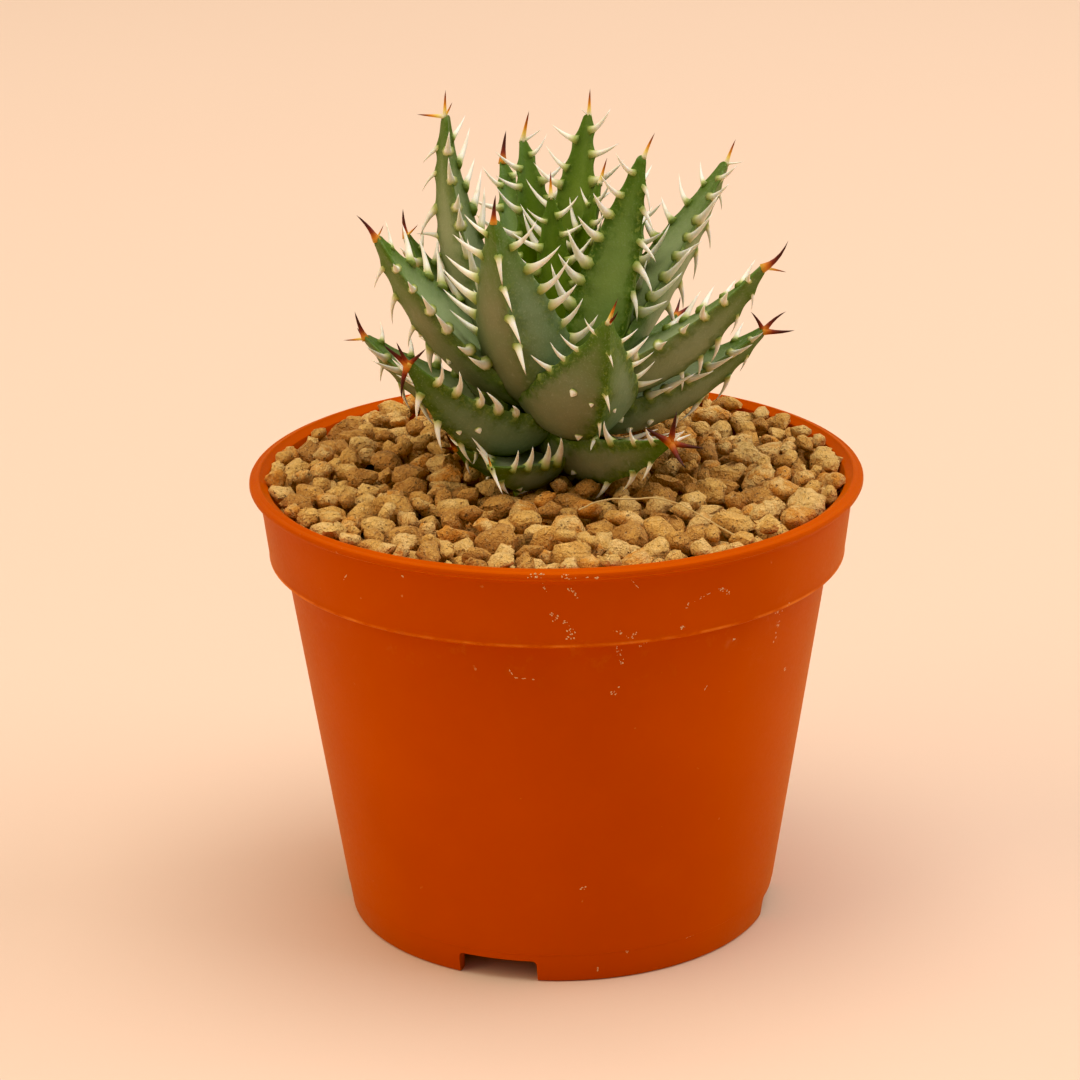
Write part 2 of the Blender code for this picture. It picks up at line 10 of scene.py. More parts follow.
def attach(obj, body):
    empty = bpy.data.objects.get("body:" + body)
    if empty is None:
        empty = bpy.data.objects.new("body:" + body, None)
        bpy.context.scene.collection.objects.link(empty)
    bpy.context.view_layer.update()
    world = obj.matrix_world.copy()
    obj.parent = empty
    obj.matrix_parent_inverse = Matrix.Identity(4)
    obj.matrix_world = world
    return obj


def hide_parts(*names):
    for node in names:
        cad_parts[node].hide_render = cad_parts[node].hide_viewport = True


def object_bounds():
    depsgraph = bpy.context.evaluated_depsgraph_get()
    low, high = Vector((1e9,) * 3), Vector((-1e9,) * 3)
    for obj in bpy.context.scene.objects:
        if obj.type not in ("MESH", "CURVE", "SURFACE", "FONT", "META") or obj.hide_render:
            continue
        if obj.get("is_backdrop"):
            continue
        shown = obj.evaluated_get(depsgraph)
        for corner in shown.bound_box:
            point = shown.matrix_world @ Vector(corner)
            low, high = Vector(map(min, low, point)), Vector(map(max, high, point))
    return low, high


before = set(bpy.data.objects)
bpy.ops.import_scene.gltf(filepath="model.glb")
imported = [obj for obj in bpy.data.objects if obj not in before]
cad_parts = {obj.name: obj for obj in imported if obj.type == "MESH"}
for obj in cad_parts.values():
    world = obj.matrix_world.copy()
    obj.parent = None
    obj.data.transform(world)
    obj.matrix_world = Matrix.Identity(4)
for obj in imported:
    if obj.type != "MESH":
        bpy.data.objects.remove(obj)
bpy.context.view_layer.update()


# Pot. One thin shell of orange polypropylene, injection moulded: a turned-out lip, a deep
# collar, a body that steps in and tapers, and a foot ring with four notches round a raised
# floor with drain holes. Handling has left pale lime spots and scratches on it.
MM = 0.001
POT_SIDES = 180
POT_UNDERSIDE = (29.6, 3.6)
POT_WALL = (
    (29.6, 0.35), (29.8, 0.0), (31.1, 0.0), (31.45, 0.12), (31.67, 0.45), (32.29, 4.5),
    (32.38, 4.58), (32.41, 4.85), (35.85, 27.4), (39.28, 50.0), (40.02, 54.85), (40.1, 55.15),
    (40.26, 55.36), (40.55, 55.47), (41.3, 55.62), (42.05, 55.8), (42.28, 55.92),
    (42.42, 56.08), (42.45, 56.25), (42.4, 56.5), (42.5, 57.3), (43.5, 65.5), (43.62, 66.05),
    (43.82, 66.28), (44.4, 66.48), (44.85, 66.75), (45.0, 67.05), (45.0, 67.3), (44.85, 67.56),
    (44.55, 67.7), (44.3, 67.7), (44.12, 67.76), (43.9, 67.92), (43.7, 68.0), (43.5, 67.97),
    (43.35, 67.8), (42.85, 67.5), (42.35, 67.15), (42.2, 66.7), (41.02, 57.3), (40.75, 56.75),
    (39.1, 55.45), (38.85, 54.9), (34.8, 28.0), (31.35, 5.3), (31.1, 4.9), (30.6, 4.8),
)
NOTCH_SIZE = (8.0, 11.8, 6.8)
NOTCH_REACH = 31.6
NOTCH_ROUND = 0.6
NOTCH_ANGLES = (252.6, 351.0, 72.6, 171.0)
DRAIN_REACHES = (19.0, 19.0, 19.0, 19.0, 19.0, 19.0, 0.0)
DRAIN_RADIUS = 3.0
FLOOR_MIDDLE = 4.2
FLOOR_CUT = 5.0


def begin(name, add, **options):
    """Adds a primitive, names it and opens it in edit mode, all selected."""
    bpy.ops.object.select_all(action="DESELECT")
    add(**options)
    made = bpy.context.object
    made.name = name
    made.data.name = name
    bpy.ops.object.mode_set(mode="EDIT")
    bpy.ops.mesh.select_all(action="SELECT")
    return made


def only(*chosen):
    """Selects these objects alone, and makes the first one active."""
    bpy.ops.object.select_all(action="DESELECT")
    for piece in chosen:
        piece.select_set(True)
    bpy.context.view_layer.objects.active = chosen[0]


def smooth(angle):
    """Shades the selected pieces smooth where their faces meet at less than an angle."""
    bpy.ops.object.shade_smooth_by_angle(angle=math.radians(angle))


def settle(piece, angle):
    """Puts the place of a piece into its mesh and smooths it up to an angle."""
    only(piece)
    bpy.ops.object.transform_apply(location=True, rotation=True, scale=True)
    smooth(angle)


def discard(piece):
    """Removes a piece and its mesh."""
    mesh = piece.data
    bpy.data.objects.remove(piece)
    bpy.data.meshes.remove(mesh)


def cut(piece, cutter, solver="EXACT"):
    """Takes the cutter's shape out of a piece and throws the cutter away."""
    only(piece)
    change = piece.modifiers.new("cut", "BOOLEAN")
    change.operation = "DIFFERENCE"
    change.object = cutter
    change.solver = solver
    bpy.ops.object.modifier_apply(modifier="cut")
    discard(cutter)


def copied(pattern, where):
    """A copy of a pattern with a mesh of its own, moved by a matrix."""
    copy = pattern.copy()
    copy.data = pattern.data.copy()
    copy.data.transform(where)
    bpy.context.scene.collection.objects.link(copy)
    return copy


def face_out():
    """Turns all faces of the mesh that is open outward, and leaves edit mode."""
    bpy.ops.mesh.select_all(action="SELECT")
    bpy.ops.mesh.normals_make_consistent(inside=False)
    bpy.ops.object.mode_set(mode="OBJECT")


def follow(profile, first):
    """Draws the selected ring of edges along a profile of (radius, height) points."""
    radius, height = first
    for next_radius, next_height in profile:
        rise = (next_height - height) * MM
        bpy.ops.mesh.extrude_edges_move(TRANSFORM_OT_translate={"value": (0.0, 0.0, rise)})
        share = next_radius / radius
        bpy.ops.transform.resize(value=(share, share, 1.0), center_override=(0.0, 0.0, 0.0))
        radius, height = next_radius, next_height


def turned(name, sides, profile, angle):
    """A turned piece: a disc at the profile's first point, its edge drawn along the rest."""
    radius, height = profile[0]
    made = begin(
        name,
        bpy.ops.mesh.primitive_circle_add,
        vertices=sides,
        radius=radius * MM,
        fill_type="NGON",
        location=(0.0, 0.0, height * MM),
    )
    bpy.ops.mesh.region_to_loop()
    follow(profile[1:], profile[0])
    bpy.ops.mesh.edge_face_add()
    face_out()
    settle(made, angle)
    return made


class Finish:
    """One finish of the object: a Principled shader and the nodes that feed it."""

    def __init__(self, name):
        self.material = bpy.data.materials.new(name)
        self.material.use_nodes = True
        self.nodes = self.material.node_tree.nodes
        self.links = self.material.node_tree.links
        self.shader = self.nodes["Principled BSDF"]
        self.place = self.nodes.new("ShaderNodeTexCoord").outputs["Object"]

    def feed(self, socket, value):
        if isinstance(value, bpy.types.NodeSocket):
            self.links.new(value, socket)
        else:
            socket.default_value = value

    def node(self, kind, **values):
        """Adds a node and feeds its sockets, each by its name."""
        made = self.nodes.new("ShaderNode" + kind)
        for name, value in values.items():
            self.feed(made.inputs[name.replace("_", " ")], value)
        return made

    def noise(self, scale, detail=2.0, rough=0.5):
        made = self.node("TexNoise", Vector=self.place, Scale=scale, Detail=detail, Roughness=rough)
        return made.outputs["Fac"]

    def cells(self, scale):
        return self.node("TexVoronoi", Vector=self.place, Scale=scale).outputs["Distance"]

    def spread(self, value, low, high, to_low=0.0, to_high=1.0):
        ends = {"From_Min": low, "From_Max": high, "To_Min": to_low, "To_Max": to_high}
        return self.node("MapRange", Value=value, **ends).outputs["Result"]

    def combine(self, operation, first, second):
        made = self.node("Math")
        made.operation = operation
        self.feed(made.inputs[0], first)
        self.feed(made.inputs[1], second)
        return made.outputs[0]

    def times(self, first, second):
        return self.combine("MULTIPLY", first, second)

    def blend(self, share, first, second):
        made = self.node("Mix")
        made.data_type = "RGBA"
        self.feed(made.inputs[0], share)
        for socket, colour in ((made.inputs[6], first), (made.inputs[7], second)):
            self.feed(socket, colour if isinstance(colour, bpy.types.NodeSocket) else (*colour, 1.0))
        return made.outputs[2]

    def steps(self, value, stops):
        made = self.node("ValToRGB", Fac=value)
        marks = made.color_ramp.elements
        for position, colour in stops[1:-1]:
            marks.new(position)
        for mark, (position, colour) in zip(marks, stops):
            mark.position = position
            mark.color = (*colour, 1.0)
        return made.outputs["Color"]

    def own(self, name):
        made = self.node("Attribute")
        made.attribute_name = name
        return made.outputs["Fac"]

    def height_of(self):
        return self.node("SeparateXYZ", Vector=self.place).outputs["Z"]

    def raised(self, height, distance, strength=1.0, below=None):
        made = self.node("Bump", Strength=strength, Distance=distance, Height=height)
        if below:
            self.feed(made.inputs["Normal"], below)
        return made.outputs["Normal"]

    def set(self, name, value):
        self.feed(self.shader.inputs[name], value)

    def glow(self, weight, radius):
        self.set("Subsurface Weight", weight)
        self.set("Subsurface Radius", radius)


pot = turned("pot_shell", POT_SIDES, (POT_UNDERSIDE,) + POT_WALL, 30.0)

for azimuth in NOTCH_ANGLES:
    angle = math.radians(azimuth)
    notch = begin(
        "notch",
        bpy.ops.mesh.primitive_cube_add,
        size=1.0,
        location=(NOTCH_REACH * MM * math.cos(angle), NOTCH_REACH * MM * math.sin(angle), 0.0),
        rotation=(0.0, 0.0, angle),
        scale=[side * MM for side in NOTCH_SIZE],
    )
    bpy.ops.mesh.select_all(action="DESELECT")
    bpy.ops.object.mode_set(mode="OBJECT")
    bpy.ops.object.transform_apply(location=False, rotation=False, scale=True)
    for edge in notch.data.edges:
        ends = [notch.data.vertices[corner].co for corner in edge.vertices]
        edge.select = all(end.z > 0.0 for end in ends) and abs(ends[0].y - ends[1].y) < 0.001
    bpy.ops.object.mode_set(mode="EDIT")
    bpy.ops.mesh.bevel(offset=NOTCH_ROUND * MM, segments=4, affect="EDGES")
    bpy.ops.object.mode_set(mode="OBJECT")
    cut(pot, notch)

for index, reach in enumerate(DRAIN_REACHES):
    angle = index * math.tau / 6.0
    bpy.ops.object.select_all(action="DESELECT")
    bpy.ops.mesh.primitive_cylinder_add(
        vertices=28,
        radius=DRAIN_RADIUS * MM,
        depth=FLOOR_CUT * MM,
        location=(reach * MM * math.cos(angle), reach * MM * math.sin(angle), FLOOR_MIDDLE * MM),
    )
    cut(pot, bpy.context.object)

only(pot)
smooth(32.0)

plastic = Finish("orange_plastic")
broad = plastic.noise(38.0, 3.0)
fine = plastic.noise(1700.0, 3.0, 0.6)
cloud = plastic.noise(210.0, 4.0, 0.6)
orange = plastic.blend(plastic.spread(broad, 0.35, 0.65), (0.52, 0.076, 0.0006), (0.48, 0.067, 0.0005))
orange = plastic.blend(plastic.spread(cloud, 0.5, 0.8, 0.0, 0.06), orange, (0.60, 0.14, 0.01))
specks = plastic.spread(plastic.noise(620.0, 2.0, 0.5), 0.75, 0.82, 0.0, 0.4)
heights = plastic.height_of()
dusty = plastic.spread(plastic.noise(320.0, 5.0, 0.7), 0.55, 0.75, 0.0, 0.10)
under_collar = plastic.times(dusty, plastic.spread(heights, 46.0 * MM, 53.0 * MM))
film = plastic.times(under_collar, plastic.spread(heights, 60.0 * MM, 55.0 * MM))
lime = plastic.combine("MAXIMUM", specks, film)
# A thin band along the collar's lower edge is painted lighter orange, broken by noise: a painted
# highlight where that ridge catches the light.
edge = plastic.times(
    plastic.spread(heights, 55.95 * MM, 56.12 * MM), plastic.spread(heights, 56.5 * MM, 56.3 * MM)
)
collar_edge_highlight = plastic.times(edge, plastic.spread(cloud, 0.35, 0.6, 0.0, 0.7))
orange = plastic.blend(collar_edge_highlight, orange, (0.78, 0.22, 0.03))
plastic.set("Base Color", plastic.blend(lime, orange, (0.74, 0.40, 0.18)))
worn = plastic.spread(fine, 0.3, 0.7, 0.42, 0.52)
plastic.set("Roughness", plastic.combine("MAXIMUM", worn, plastic.times(lime, 0.9)))
skin_bump = plastic.raised(fine, 0.00002, 0.55)
wave_bump = plastic.raised(broad, 0.0006, 0.35, skin_bump)
plastic.set("Normal", plastic.raised(lime, 0.00008, 0.8, wave_bump))
plastic.glow(0.12, (0.004, 0.0016, 0.0006))
plastic.set("IOR", 1.49)
plastic.set("Specular IOR Level", 0.05)
plastic.set("Specular Tint", (1.0, 0.62, 0.22, 1.0))
plastic.set("Sheen Weight", 0.22)
plastic.set("Sheen Roughness", 0.45)
plastic.set("Sheen Tint", (1.0, 0.46, 0.02, 1.0))
pot.data.materials.clear()
pot.data.materials.append(plastic.material)

# Lime spots and scratches: azimuth in degrees, height, half length, half width, slope of
# the long side in degrees, and how thickly the crumbs lie.
POT_MARKS = (
    (272.4, 64.6, 1.25, 0.30, -58.0, 0.9),
    (268.9, 61.0, 0.75, 0.55, -60.0, 0.8),
    (271.0, 59.9, 0.50, 0.40, 0.0, 0.7),
    (272.2, 58.4, 1.05, 0.45, -62.0, 0.9),
    (271.6, 57.4, 0.45, 0.30, 10.0, 0.6),
    (294.4, 60.7, 0.75, 0.26, 62.0, 0.8),
    (297.2, 61.6, 1.50, 0.18, 22.0, 0.7),
    (301.2, 62.2, 0.75, 0.28, -12.0, 0.9),
    (303.0, 61.4, 0.55, 0.24, -50.0, 0.8),
    (293.7, 57.5, 0.42, 0.28, 0.0, 0.9),
    (281.2, 57.9, 1.40, 0.24, -25.0, 0.6),
    (283.9, 57.2, 0.95, 0.42, 10.0, 0.6),
    (282.0, 53.6, 1.70, 0.50, -72.0, 0.7),
    (286.5, 54.6, 1.30, 0.34, 35.0, 0.5),
    (308.1, 52.5, 0.34, 0.26, 0.0, 0.8),
    (320.6, 55.0, 1.50, 0.50, -68.0, 0.7),
    (321.8, 51.9, 2.30, 0.42, 84.0, 0.6),
    (327.9, 43.9, 0.45, 0.40, 0.0, 0.7),
    (283.7, 65.2, 1.60, 0.09, -52.0, 0.9),
    (281.5, 48.0, 0.85, 0.50, 40.0, 0.6),
    (302.1, 45.9, 0.95, 0.16, 78.0, 0.8),
    (240.3, 65.1, 0.32, 0.26, 0.0, 0.9),
    (226.5, 62.7, 1.10, 0.10, 50.0, 0.7),
    (260.2, 51.0, 1.60, 0.10, -60.0, 0.6),
    (263.0, 50.2, 1.30, 0.12, -4.0, 0.6),
    (275.5, 15.9, 0.95, 0.34, 5.0, 0.5),
    (305.2, 4.5, 0.85, 0.22, 10.0, 0.6),
    (286.5, 4.3, 0.40, 0.30, 0.0, 0.7),
    (279.0, 1.9, 0.35, 0.28, 0.0, 0.7),
    (266.6, 67.3, 1.50, 0.40, 0.0, 0.7),
    (271.4, 67.3, 1.20, 0.40, 0.0, 0.8),
    (276.5, 67.0, 1.60, 0.22, 0.0, 0.5),
    (267.3, 65.2, 1.00, 0.20, -60.0, 0.5),
    (35.0, 60.5, 1.80, 0.40, 20.0, 0.7),
    (62.0, 47.5, 1.40, 0.60, -40.0, 0.6),
    (118.0, 58.0, 1.10, 0.50, 60.0, 0.7),
    (152.0, 38.0, 2.20, 0.14, -35.0, 0.7),
    (176.0, 61.8, 0.90, 0.50, 15.0, 0.7),
)
# The points of the wall's outer side, from the foot to the lip, and the collar's radius.
OUTER_WALL = POT_WALL[4:29]
COLLAR_RADIUS = 42.0
CRUMB_SUNK = 0.03


def on_wall(angle, height):
    """A spot on the pot's outer wall, and the ways out, level and up the wall there."""
    heights = [spot[1] for spot in OUTER_WALL]
    radii = [spot[0] for spot in OUTER_WALL]
    radius = float(np.interp(height, heights, radii))
    slope = (float(np.interp(height + 0.3, heights, radii)) - radius) / 0.3
    level = Vector((-math.sin(angle), math.cos(angle), 0.0))
    rising = Vector((slope * math.cos(angle), slope * math.sin(angle), 1.0)).normalized()
    spot = Vector((radius * math.cos(angle), radius * math.sin(angle), height)) * MM
    return spot, level.cross(rising).normalized(), level, rising


crumb = begin(
    "crumb_pattern", bpy.ops.mesh.primitive_circle_add, vertices=6, radius=1.0, fill_type="NGON"
)
bpy.ops.mesh.extrude_region_move(TRANSFORM_OT_translate={"value": (0.0, 0.0, 0.7)})
bpy.ops.transform.resize(value=(0.72, 0.72, 1.0), center_override=(0.0, 0.0, 0.0))
bpy.ops.mesh.extrude_region_move(TRANSFORM_OT_translate={"value": (0.0, 0.0, 0.3)})
bpy.ops.transform.resize(value=(0.5, 0.5, 1.0), center_override=(0.0, 0.0, 0.0))
face_out()
limescale = Finish("limescale")
chalk = limescale.noise(2600.0, 3.0, 0.6)
limescale.set("Base Color", limescale.blend(chalk, (0.55, 0.26, 0.10), (0.78, 0.55, 0.34)))
limescale.set("Roughness", 0.85)
limescale.set("Normal", limescale.raised(chalk, 0.00003, 0.5))
crumb.data.materials.append(limescale.material)
strew = random.Random(3)
crumbs = []
for azimuth, height, half_length, half_width, slope, solid in POT_MARKS:
    thin = half_width < 0.2
    count = int(4 + 22 * half_length * max(0.12, half_width) * solid)
    for index in range(count):
        shift = max(-1.0, min(1.0, strew.gauss(0.0, 0.5))) * half_length
        drift = max(-1.0, min(1.0, strew.gauss(0.0, 0.5))) * half_width
        tilt = math.radians(slope)
        side = shift * math.cos(tilt) - drift * math.sin(tilt)
        up = shift * math.sin(tilt) + drift * math.cos(tilt)
        around = math.radians(azimuth) + side / COLLAR_RADIUS
        spot, outward, level, rising = on_wall(around, height + up)
        along = level * math.cos(tilt) + rising * math.sin(tilt)
        size = strew.uniform(0.05, 0.17) * (0.6 if thin else 1.0)
        stretch = strew.uniform(2.0, 4.0) if thin else strew.uniform(0.9, 1.5)
        turn = Matrix((along, outward.cross(along), outward)).transposed().to_4x4()
        grow = Matrix.Diagonal((size * stretch * MM, size * MM, strew.uniform(0.04, 0.06) * MM, 1.0))
        place = Matrix.Translation(spot - outward * CRUMB_SUNK * MM)
        crumbs.append(copied(crumb, place @ turn @ grow))
discard(crumb)
only(pot, *crumbs)
bpy.ops.object.join()
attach(pot, "root")
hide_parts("pot")


# Potting soil. Dark peat with fine pumice, poured round the roots up to the grit. It keeps
# its CAD solid and shows only through the drain holes.
earth = Finish("peat_soil")
clods = earth.noise(420.0, 6.0, 0.65)
pumice = earth.spread(earth.noise(900.0, 2.0), 0.66, 0.72)
peat = earth.blend(earth.spread(clods, 0.35, 0.65), (0.020, 0.012, 0.007), (0.075, 0.045, 0.026))
earth.set("Base Color", earth.blend(pumice, peat, (0.34, 0.28, 0.20)))
earth.set("Roughness", 0.95)
earth.set("Normal", earth.raised(clods, 0.0009, 0.9))
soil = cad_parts["potting_soil"]
for place in soil.material_slots:
    place.material = earth.material


# Stem. The short woody stem that the leaves grow round: a turned core with the rings that
# fallen leaves left, domed and green under the heart, pressed into the soil.
STEM_RINGS = (
    (3.15, 40.0), (3.38, 40.5), (3.4, 52.0), (3.4, 60.0), (3.3, 61.0), (3.4, 61.6), (3.4, 63.8),
    (3.28, 64.4), (3.4, 65.0), (3.4, 67.0), (3.27, 67.6), (3.38, 68.2), (3.36, 70.4),
    (3.22, 71.0), (3.3, 71.6), (3.24, 74.0), (3.1, 74.6), (3.18, 75.2), (3.1, 77.4), (2.96, 78.0),
    (3.02, 78.6), (2.95, 80.0), (2.6, 80.6), (1.8, 81.1), (0.9, 81.35),
)
stem = turned("stem_core", 40, STEM_RINGS, 50.0)
bark = Finish("stem_skin")
streaks = bark.noise(520.0, 5.0, 0.65)
brown = bark.blend(bark.spread(streaks, 0.35, 0.65), (0.10, 0.062, 0.030), (0.24, 0.17, 0.085))
young = bark.spread(bark.height_of(), 70.0 * MM, 79.0 * MM)
bark.set("Base Color", bark.blend(young, brown, (0.30, 0.34, 0.12)))
bark.set("Roughness", 0.78)
bark.set("Normal", bark.raised(streaks, 0.0004, 0.7))
stem.data.materials.append(bark.material)
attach(stem, "root")
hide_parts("stem")


# Leaves. Twenty-four thick, keeled leaves of the rosette, from the heart outward. Each grew
# as one body with white teeth on its two margins and down its keel, and with one or more
# horny spines at its tip. They spring from the stem and rest on one another.
LEAF_AROUND = 40
LEAF_ALONG = 84
# Share of the length, width, thickness and sharpness of the keel.
LEAF_STATIONS = (
    (0.00, 1.00, 0.70, 0.0),
    (0.12, 1.02, 0.90, 0.1),
    (0.26, 1.00, 1.00, 0.3),
    (0.42, 0.91, 0.93, 0.55),
    (0.58, 0.77, 0.79, 0.8),
    (0.73, 0.59, 0.61, 1.0),
    (0.87, 0.38, 0.41, 1.0),
    (0.95, 0.25, 0.29, 1.0),
    (1.00, 0.165, 0.22, 1.0),
)
# Name, azimuth, base reach and height, tip reach and height, lean of the rib at its foot,
# turn about the rib, width, thickness, taper, and age (0 the heart, 1 the oldest).
LEAVES = (
    ("leaf_01", 95, -1.2, 81.7, 3.0, 107.5, 85, 0, 7.0, 3.4, 1.0, 0.0),
    ("leaf_02", 40, 1.4, 81.7, 8.5, 109.0, 80, 0, 6.2, 3.4, 1.0, 0.0),
    ("leaf_03", 105, 2.2, 82.0, 16.0, 113.0, 75, 0, 8.0, 4.2, 1.0, 0.0),
    ("leaf_04", 66, 2.2, 82.0, 12.8, 117.5, 80, 0, 9.0, 4.2, 1.0, 0.05),
    ("leaf_05", 150, 3.8, 82.0, 17.3, 118.0, 47, 20, 13.0, 5.0, 1.0, 0.45),
    ("leaf_06", 15, 3.8, 82.0, 13.0, 113.0, 72, -50, 13.5, 5.0, 1.0, 0.2),
    ("leaf_07", 241, 3.8, 81.5, 16.8, 108.6, 50, 8, 14.5, 5.5, 1.12, 0.85),
    ("leaf_08", 33, 3.8, 82.0, 29.8, 109.0, 38, -8, 11.5, 5.0, 1.0, 0.45),
    ("leaf_09", 107, 3.8, 80.0, 24.5, 108.0, 50, 0, 8.0, 4.2, 1.0, 0.3),
    ("leaf_10", 195, 3.8, 82.0, 25.2, 104.2, 33, -20, 13.5, 5.5, 1.0, 0.75),
    ("leaf_11", 160, 3.8, 80.0, 22.2, 101.0, 35, 0, 11.4, 5.0, 1.15, 0.6),
    ("leaf_12", 345, 3.8, 82.5, 30.0, 99.8, 15, 0, 12.5, 5.0, 1.0, 0.75),
    ("leaf_13", 55, 3.8, 79.0, 22.0, 103.0, 40, 0, 12.0, 5.0, 1.0, 0.6),
    ("leaf_14", 292, 3.8, 79.6, 19.5, 95.0, 10, -12, 17.0, 6.4, 1.25, 0.9),
    ("leaf_15", 85, 3.8, 77.5, 29.0, 94.0, 20, 0, 13.0, 5.4, 1.0, 0.7),
    ("leaf_16", 5, 3.8, 77.5, 29.7, 87.6, 5, 0, 12.0, 5.6, 1.0, 0.8),
    ("leaf_17", 214, 3.8, 76.5, 24.4, 88.0, 0, 10, 12.0, 5.5, 1.0, 0.9),
    ("leaf_18", 133, 3.8, 77.0, 28.0, 92.0, 15, 0, 12.5, 5.4, 1.0, 0.8),
    ("leaf_19", 158, 3.8, 75.0, 29.4, 84.8, 5, 0, 11.0, 5.0, 1.0, 0.9),
    ("leaf_20", 52, 3.8, 74.5, 29.0, 84.0, 5, 0, 12.0, 5.0, 1.0, 0.9),
    ("leaf_21", 104, 3.8, 73.5, 29.5, 82.0, 0, 0, 11.5, 5.0, 1.0, 1.0),
    ("leaf_22", 311, 1.5, 73.2, 24.0, 77.8, -4, -18, 11.0, 5.4, 1.0, 0.9),
    ("leaf_23", 241, 3.8, 71.6, 18.3, 73.6, -6, 0, 10.0, 4.6, 1.0, 1.0),
    ("leaf_24", 205, 3.8, 71.0, 15.5, 73.4, -6, 0, 7.5, 3.6, 1.0, 1.0),
)
# Spines at each tip: direction (right, back, up), length, bow, and colour (0 pale to the
# point, 1 yellow then brown, 2 dark red). Leaves that aren't listed have one usual spine.
TIP_SPINES = {
    "leaf_03": ((0.20, 0.0, 1.0, 5.0, 0.02, 1), (0.9, 0.1, 0.45, 3.8, 0.1, 0)),
    "leaf_04": ((0.03, 0.0, 1.0, 4.3, 0.02, 1), (-0.8, -0.2, 0.6, 2.0, 0.1, 0)),
    "leaf_05": (
        (0.0, 0.0, 1.0, 4.2, 0.04, 1),
        (-1.0, 0.1, 0.03, 4.4, 0.03, 1),
        (0.5, -0.3, 0.8, 2.9, 0.1, 1),
    ),
    "leaf_06": ((0.36, 0.0, 0.93, 4.2, 0.05, 1),),
    "leaf_07": ((0.02, 0.0, 1.0, 4.2, 0.05, 2),),
    "leaf_08": ((0.30, 0.1, 0.95, 4.2, 0.06, 1), (0.9, -0.2, 0.05, 3.0, 0.1, 0)),
    "leaf_09": ((0.05, 0.3, 0.95, 4.2, 0.05, 2),),
    "leaf_10": ((-0.42, 0.0, 0.9, 3.9, -0.16, 2), (0.55, 0.1, 0.8, 2.6, 0.1, 1)),
    "leaf_11": ((-0.2, 0.3, 0.9, 3.6, 0.08, 2), (0.6, -0.2, 0.5, 3.0, 0.1, 1)),
    "leaf_12": ((0.75, -0.1, 0.35, 4.3, 0.34, 2), (1.0, 0.0, -0.16, 3.6, -0.05, 1)),
    "leaf_14": ((0.25, -0.3, 0.9, 4.6, 0.05, 1), (0.55, -0.6, 0.5, 2.6, 0.2, 2)),
    "leaf_15": ((0.1, 0.9, 0.5, 4.0, 0.1, 2), (0.7, 0.5, 0.1, 3.0, 0.1, 1)),
    "leaf_16": (
        (-0.35, -0.2, 0.9, 3.4, -0.12, 2),
        (0.55, 0.1, 0.8, 3.8, -0.2, 2),
        (1.0, -0.1, -0.12, 4.0, 0.12, 2),
    ),
    "leaf_17": (
        (-0.72, -0.1, 0.62, 4.2, 0.03, 2),
        (-0.40, -0.3, 0.85, 3.7, 0.05, 2),
        (0.75, -0.2, 0.62, 3.4, 0.06, 2),
        (-0.42, -0.3, -0.85, 4.2, -0.22, 2),
    ),
    "leaf_18": ((-0.7, 0.6, 0.4, 4.0, 0.1, 2), (0.2, 0.8, 0.5, 3.2, 0.1, 2)),
    "leaf_19": (
        (-0.45, 0.2, 0.85, 3.8, 0.1, 2),
        (-0.9, 0.1, -0.2, 3.6, 0.1, 1),
        (-0.4, 0.9, 0.1, 3.0, 0.1, 2),
    ),
    "leaf_20": ((0.8, 0.5, 0.3, 3.8, 0.1, 2), (0.3, 0.8, 0.6, 3.2, 0.1, 2)),
    "leaf_21": ((-0.1, 0.9, 0.3, 3.8, 0.1, 2), (0.7, 0.6, 0.2, 3.2, 0.1, 2)),
    "leaf_22": (
        (-0.72, -0.5, 0.55, 4.9, 0.03, 2),
        (0.10, -0.2, 0.95, 4.6, 0.04, 2),
        (0.92, -0.3, -0.15, 4.4, 0.06, 2),
        (0.30, -0.7, -0.65, 4.6, 0.2, 2),
        (0.55, -0.4, 0.6, 3.6, 0.05, 0),
    ),
    "leaf_23": (
        (-0.25, -0.2, 0.95, 2.9, 0.03, 1),
        (0.0, -0.9, 0.25, 1.8, 0.05, 2),
        (0.32, -0.5, -0.75, 4.6, 0.08, 0),
    ),
    "leaf_24": ((-0.45, -0.35, 0.75, 3.0, 0.08, 2), (-0.8, -0.3, 0.1, 2.4, 0.08, 2)),
}
# Length, bow and colour of the usual spine, how much thicker and longer the dark ones are,
# and the leaves whose dark spines aren't longer.
USUAL_SPINE = (4.2, 0.03, 1)
DARK_THICK = 1.3
DARK_LONG = 1.2
NOT_LONG = ("leaf_07",)
# Lengths of the teeth, and the gaps from one tooth to the next.
MARGIN_TOOTH = 6.3
KEEL_TOOTH = 4.3
MARGIN_GAP = 3.4
KEEL_GAP = 4.0
# How much thicker the keel's teeth are, how deep the roots of teeth and spines sit in the
# leaf, and how far from the cut leaf's skin a tooth is left out.
KEEL_THICK = 1.25
TOOTH_SUNK = 0.55
SPINE_SUNK = 0.3
OFF_SKIN = 0.8
# How far each leaf stays clear of the leaves inside it and of the stem.
LEAF_CLEARANCE = 0.18
STEM_CLEARANCE = 0.15
# No tooth reaches below this height, where the grit lies.
LOWEST_TOOTH = 65.4
# Where the keel of the outer face stands, if it isn't in the middle, and how strongly the
# margins and keel are lined in dark green, if not at the usual strength.
FOLDS = {"leaf_07": 0.309, "leaf_14": 0.156}
USUAL_LINING = 0.6
LINING = {"leaf_06": 1.0, "leaf_14": 0.9, "leaf_17": 0.8, "leaf_22": 0.8, "leaf_07": 0.35}
# The gap between margin teeth, where it is less than usual.
TOOTH_GAPS = {"leaf_14": 2.5, "leaf_22": 2.9, "leaf_23": 2.6}
# The length of the teeth as a share of the usual, where they are shorter.
SHORTER = {"leaf_14": 0.70, "leaf_22": 0.82, "leaf_23": 0.85, "leaf_16": 0.85, "leaf_12": 0.85}
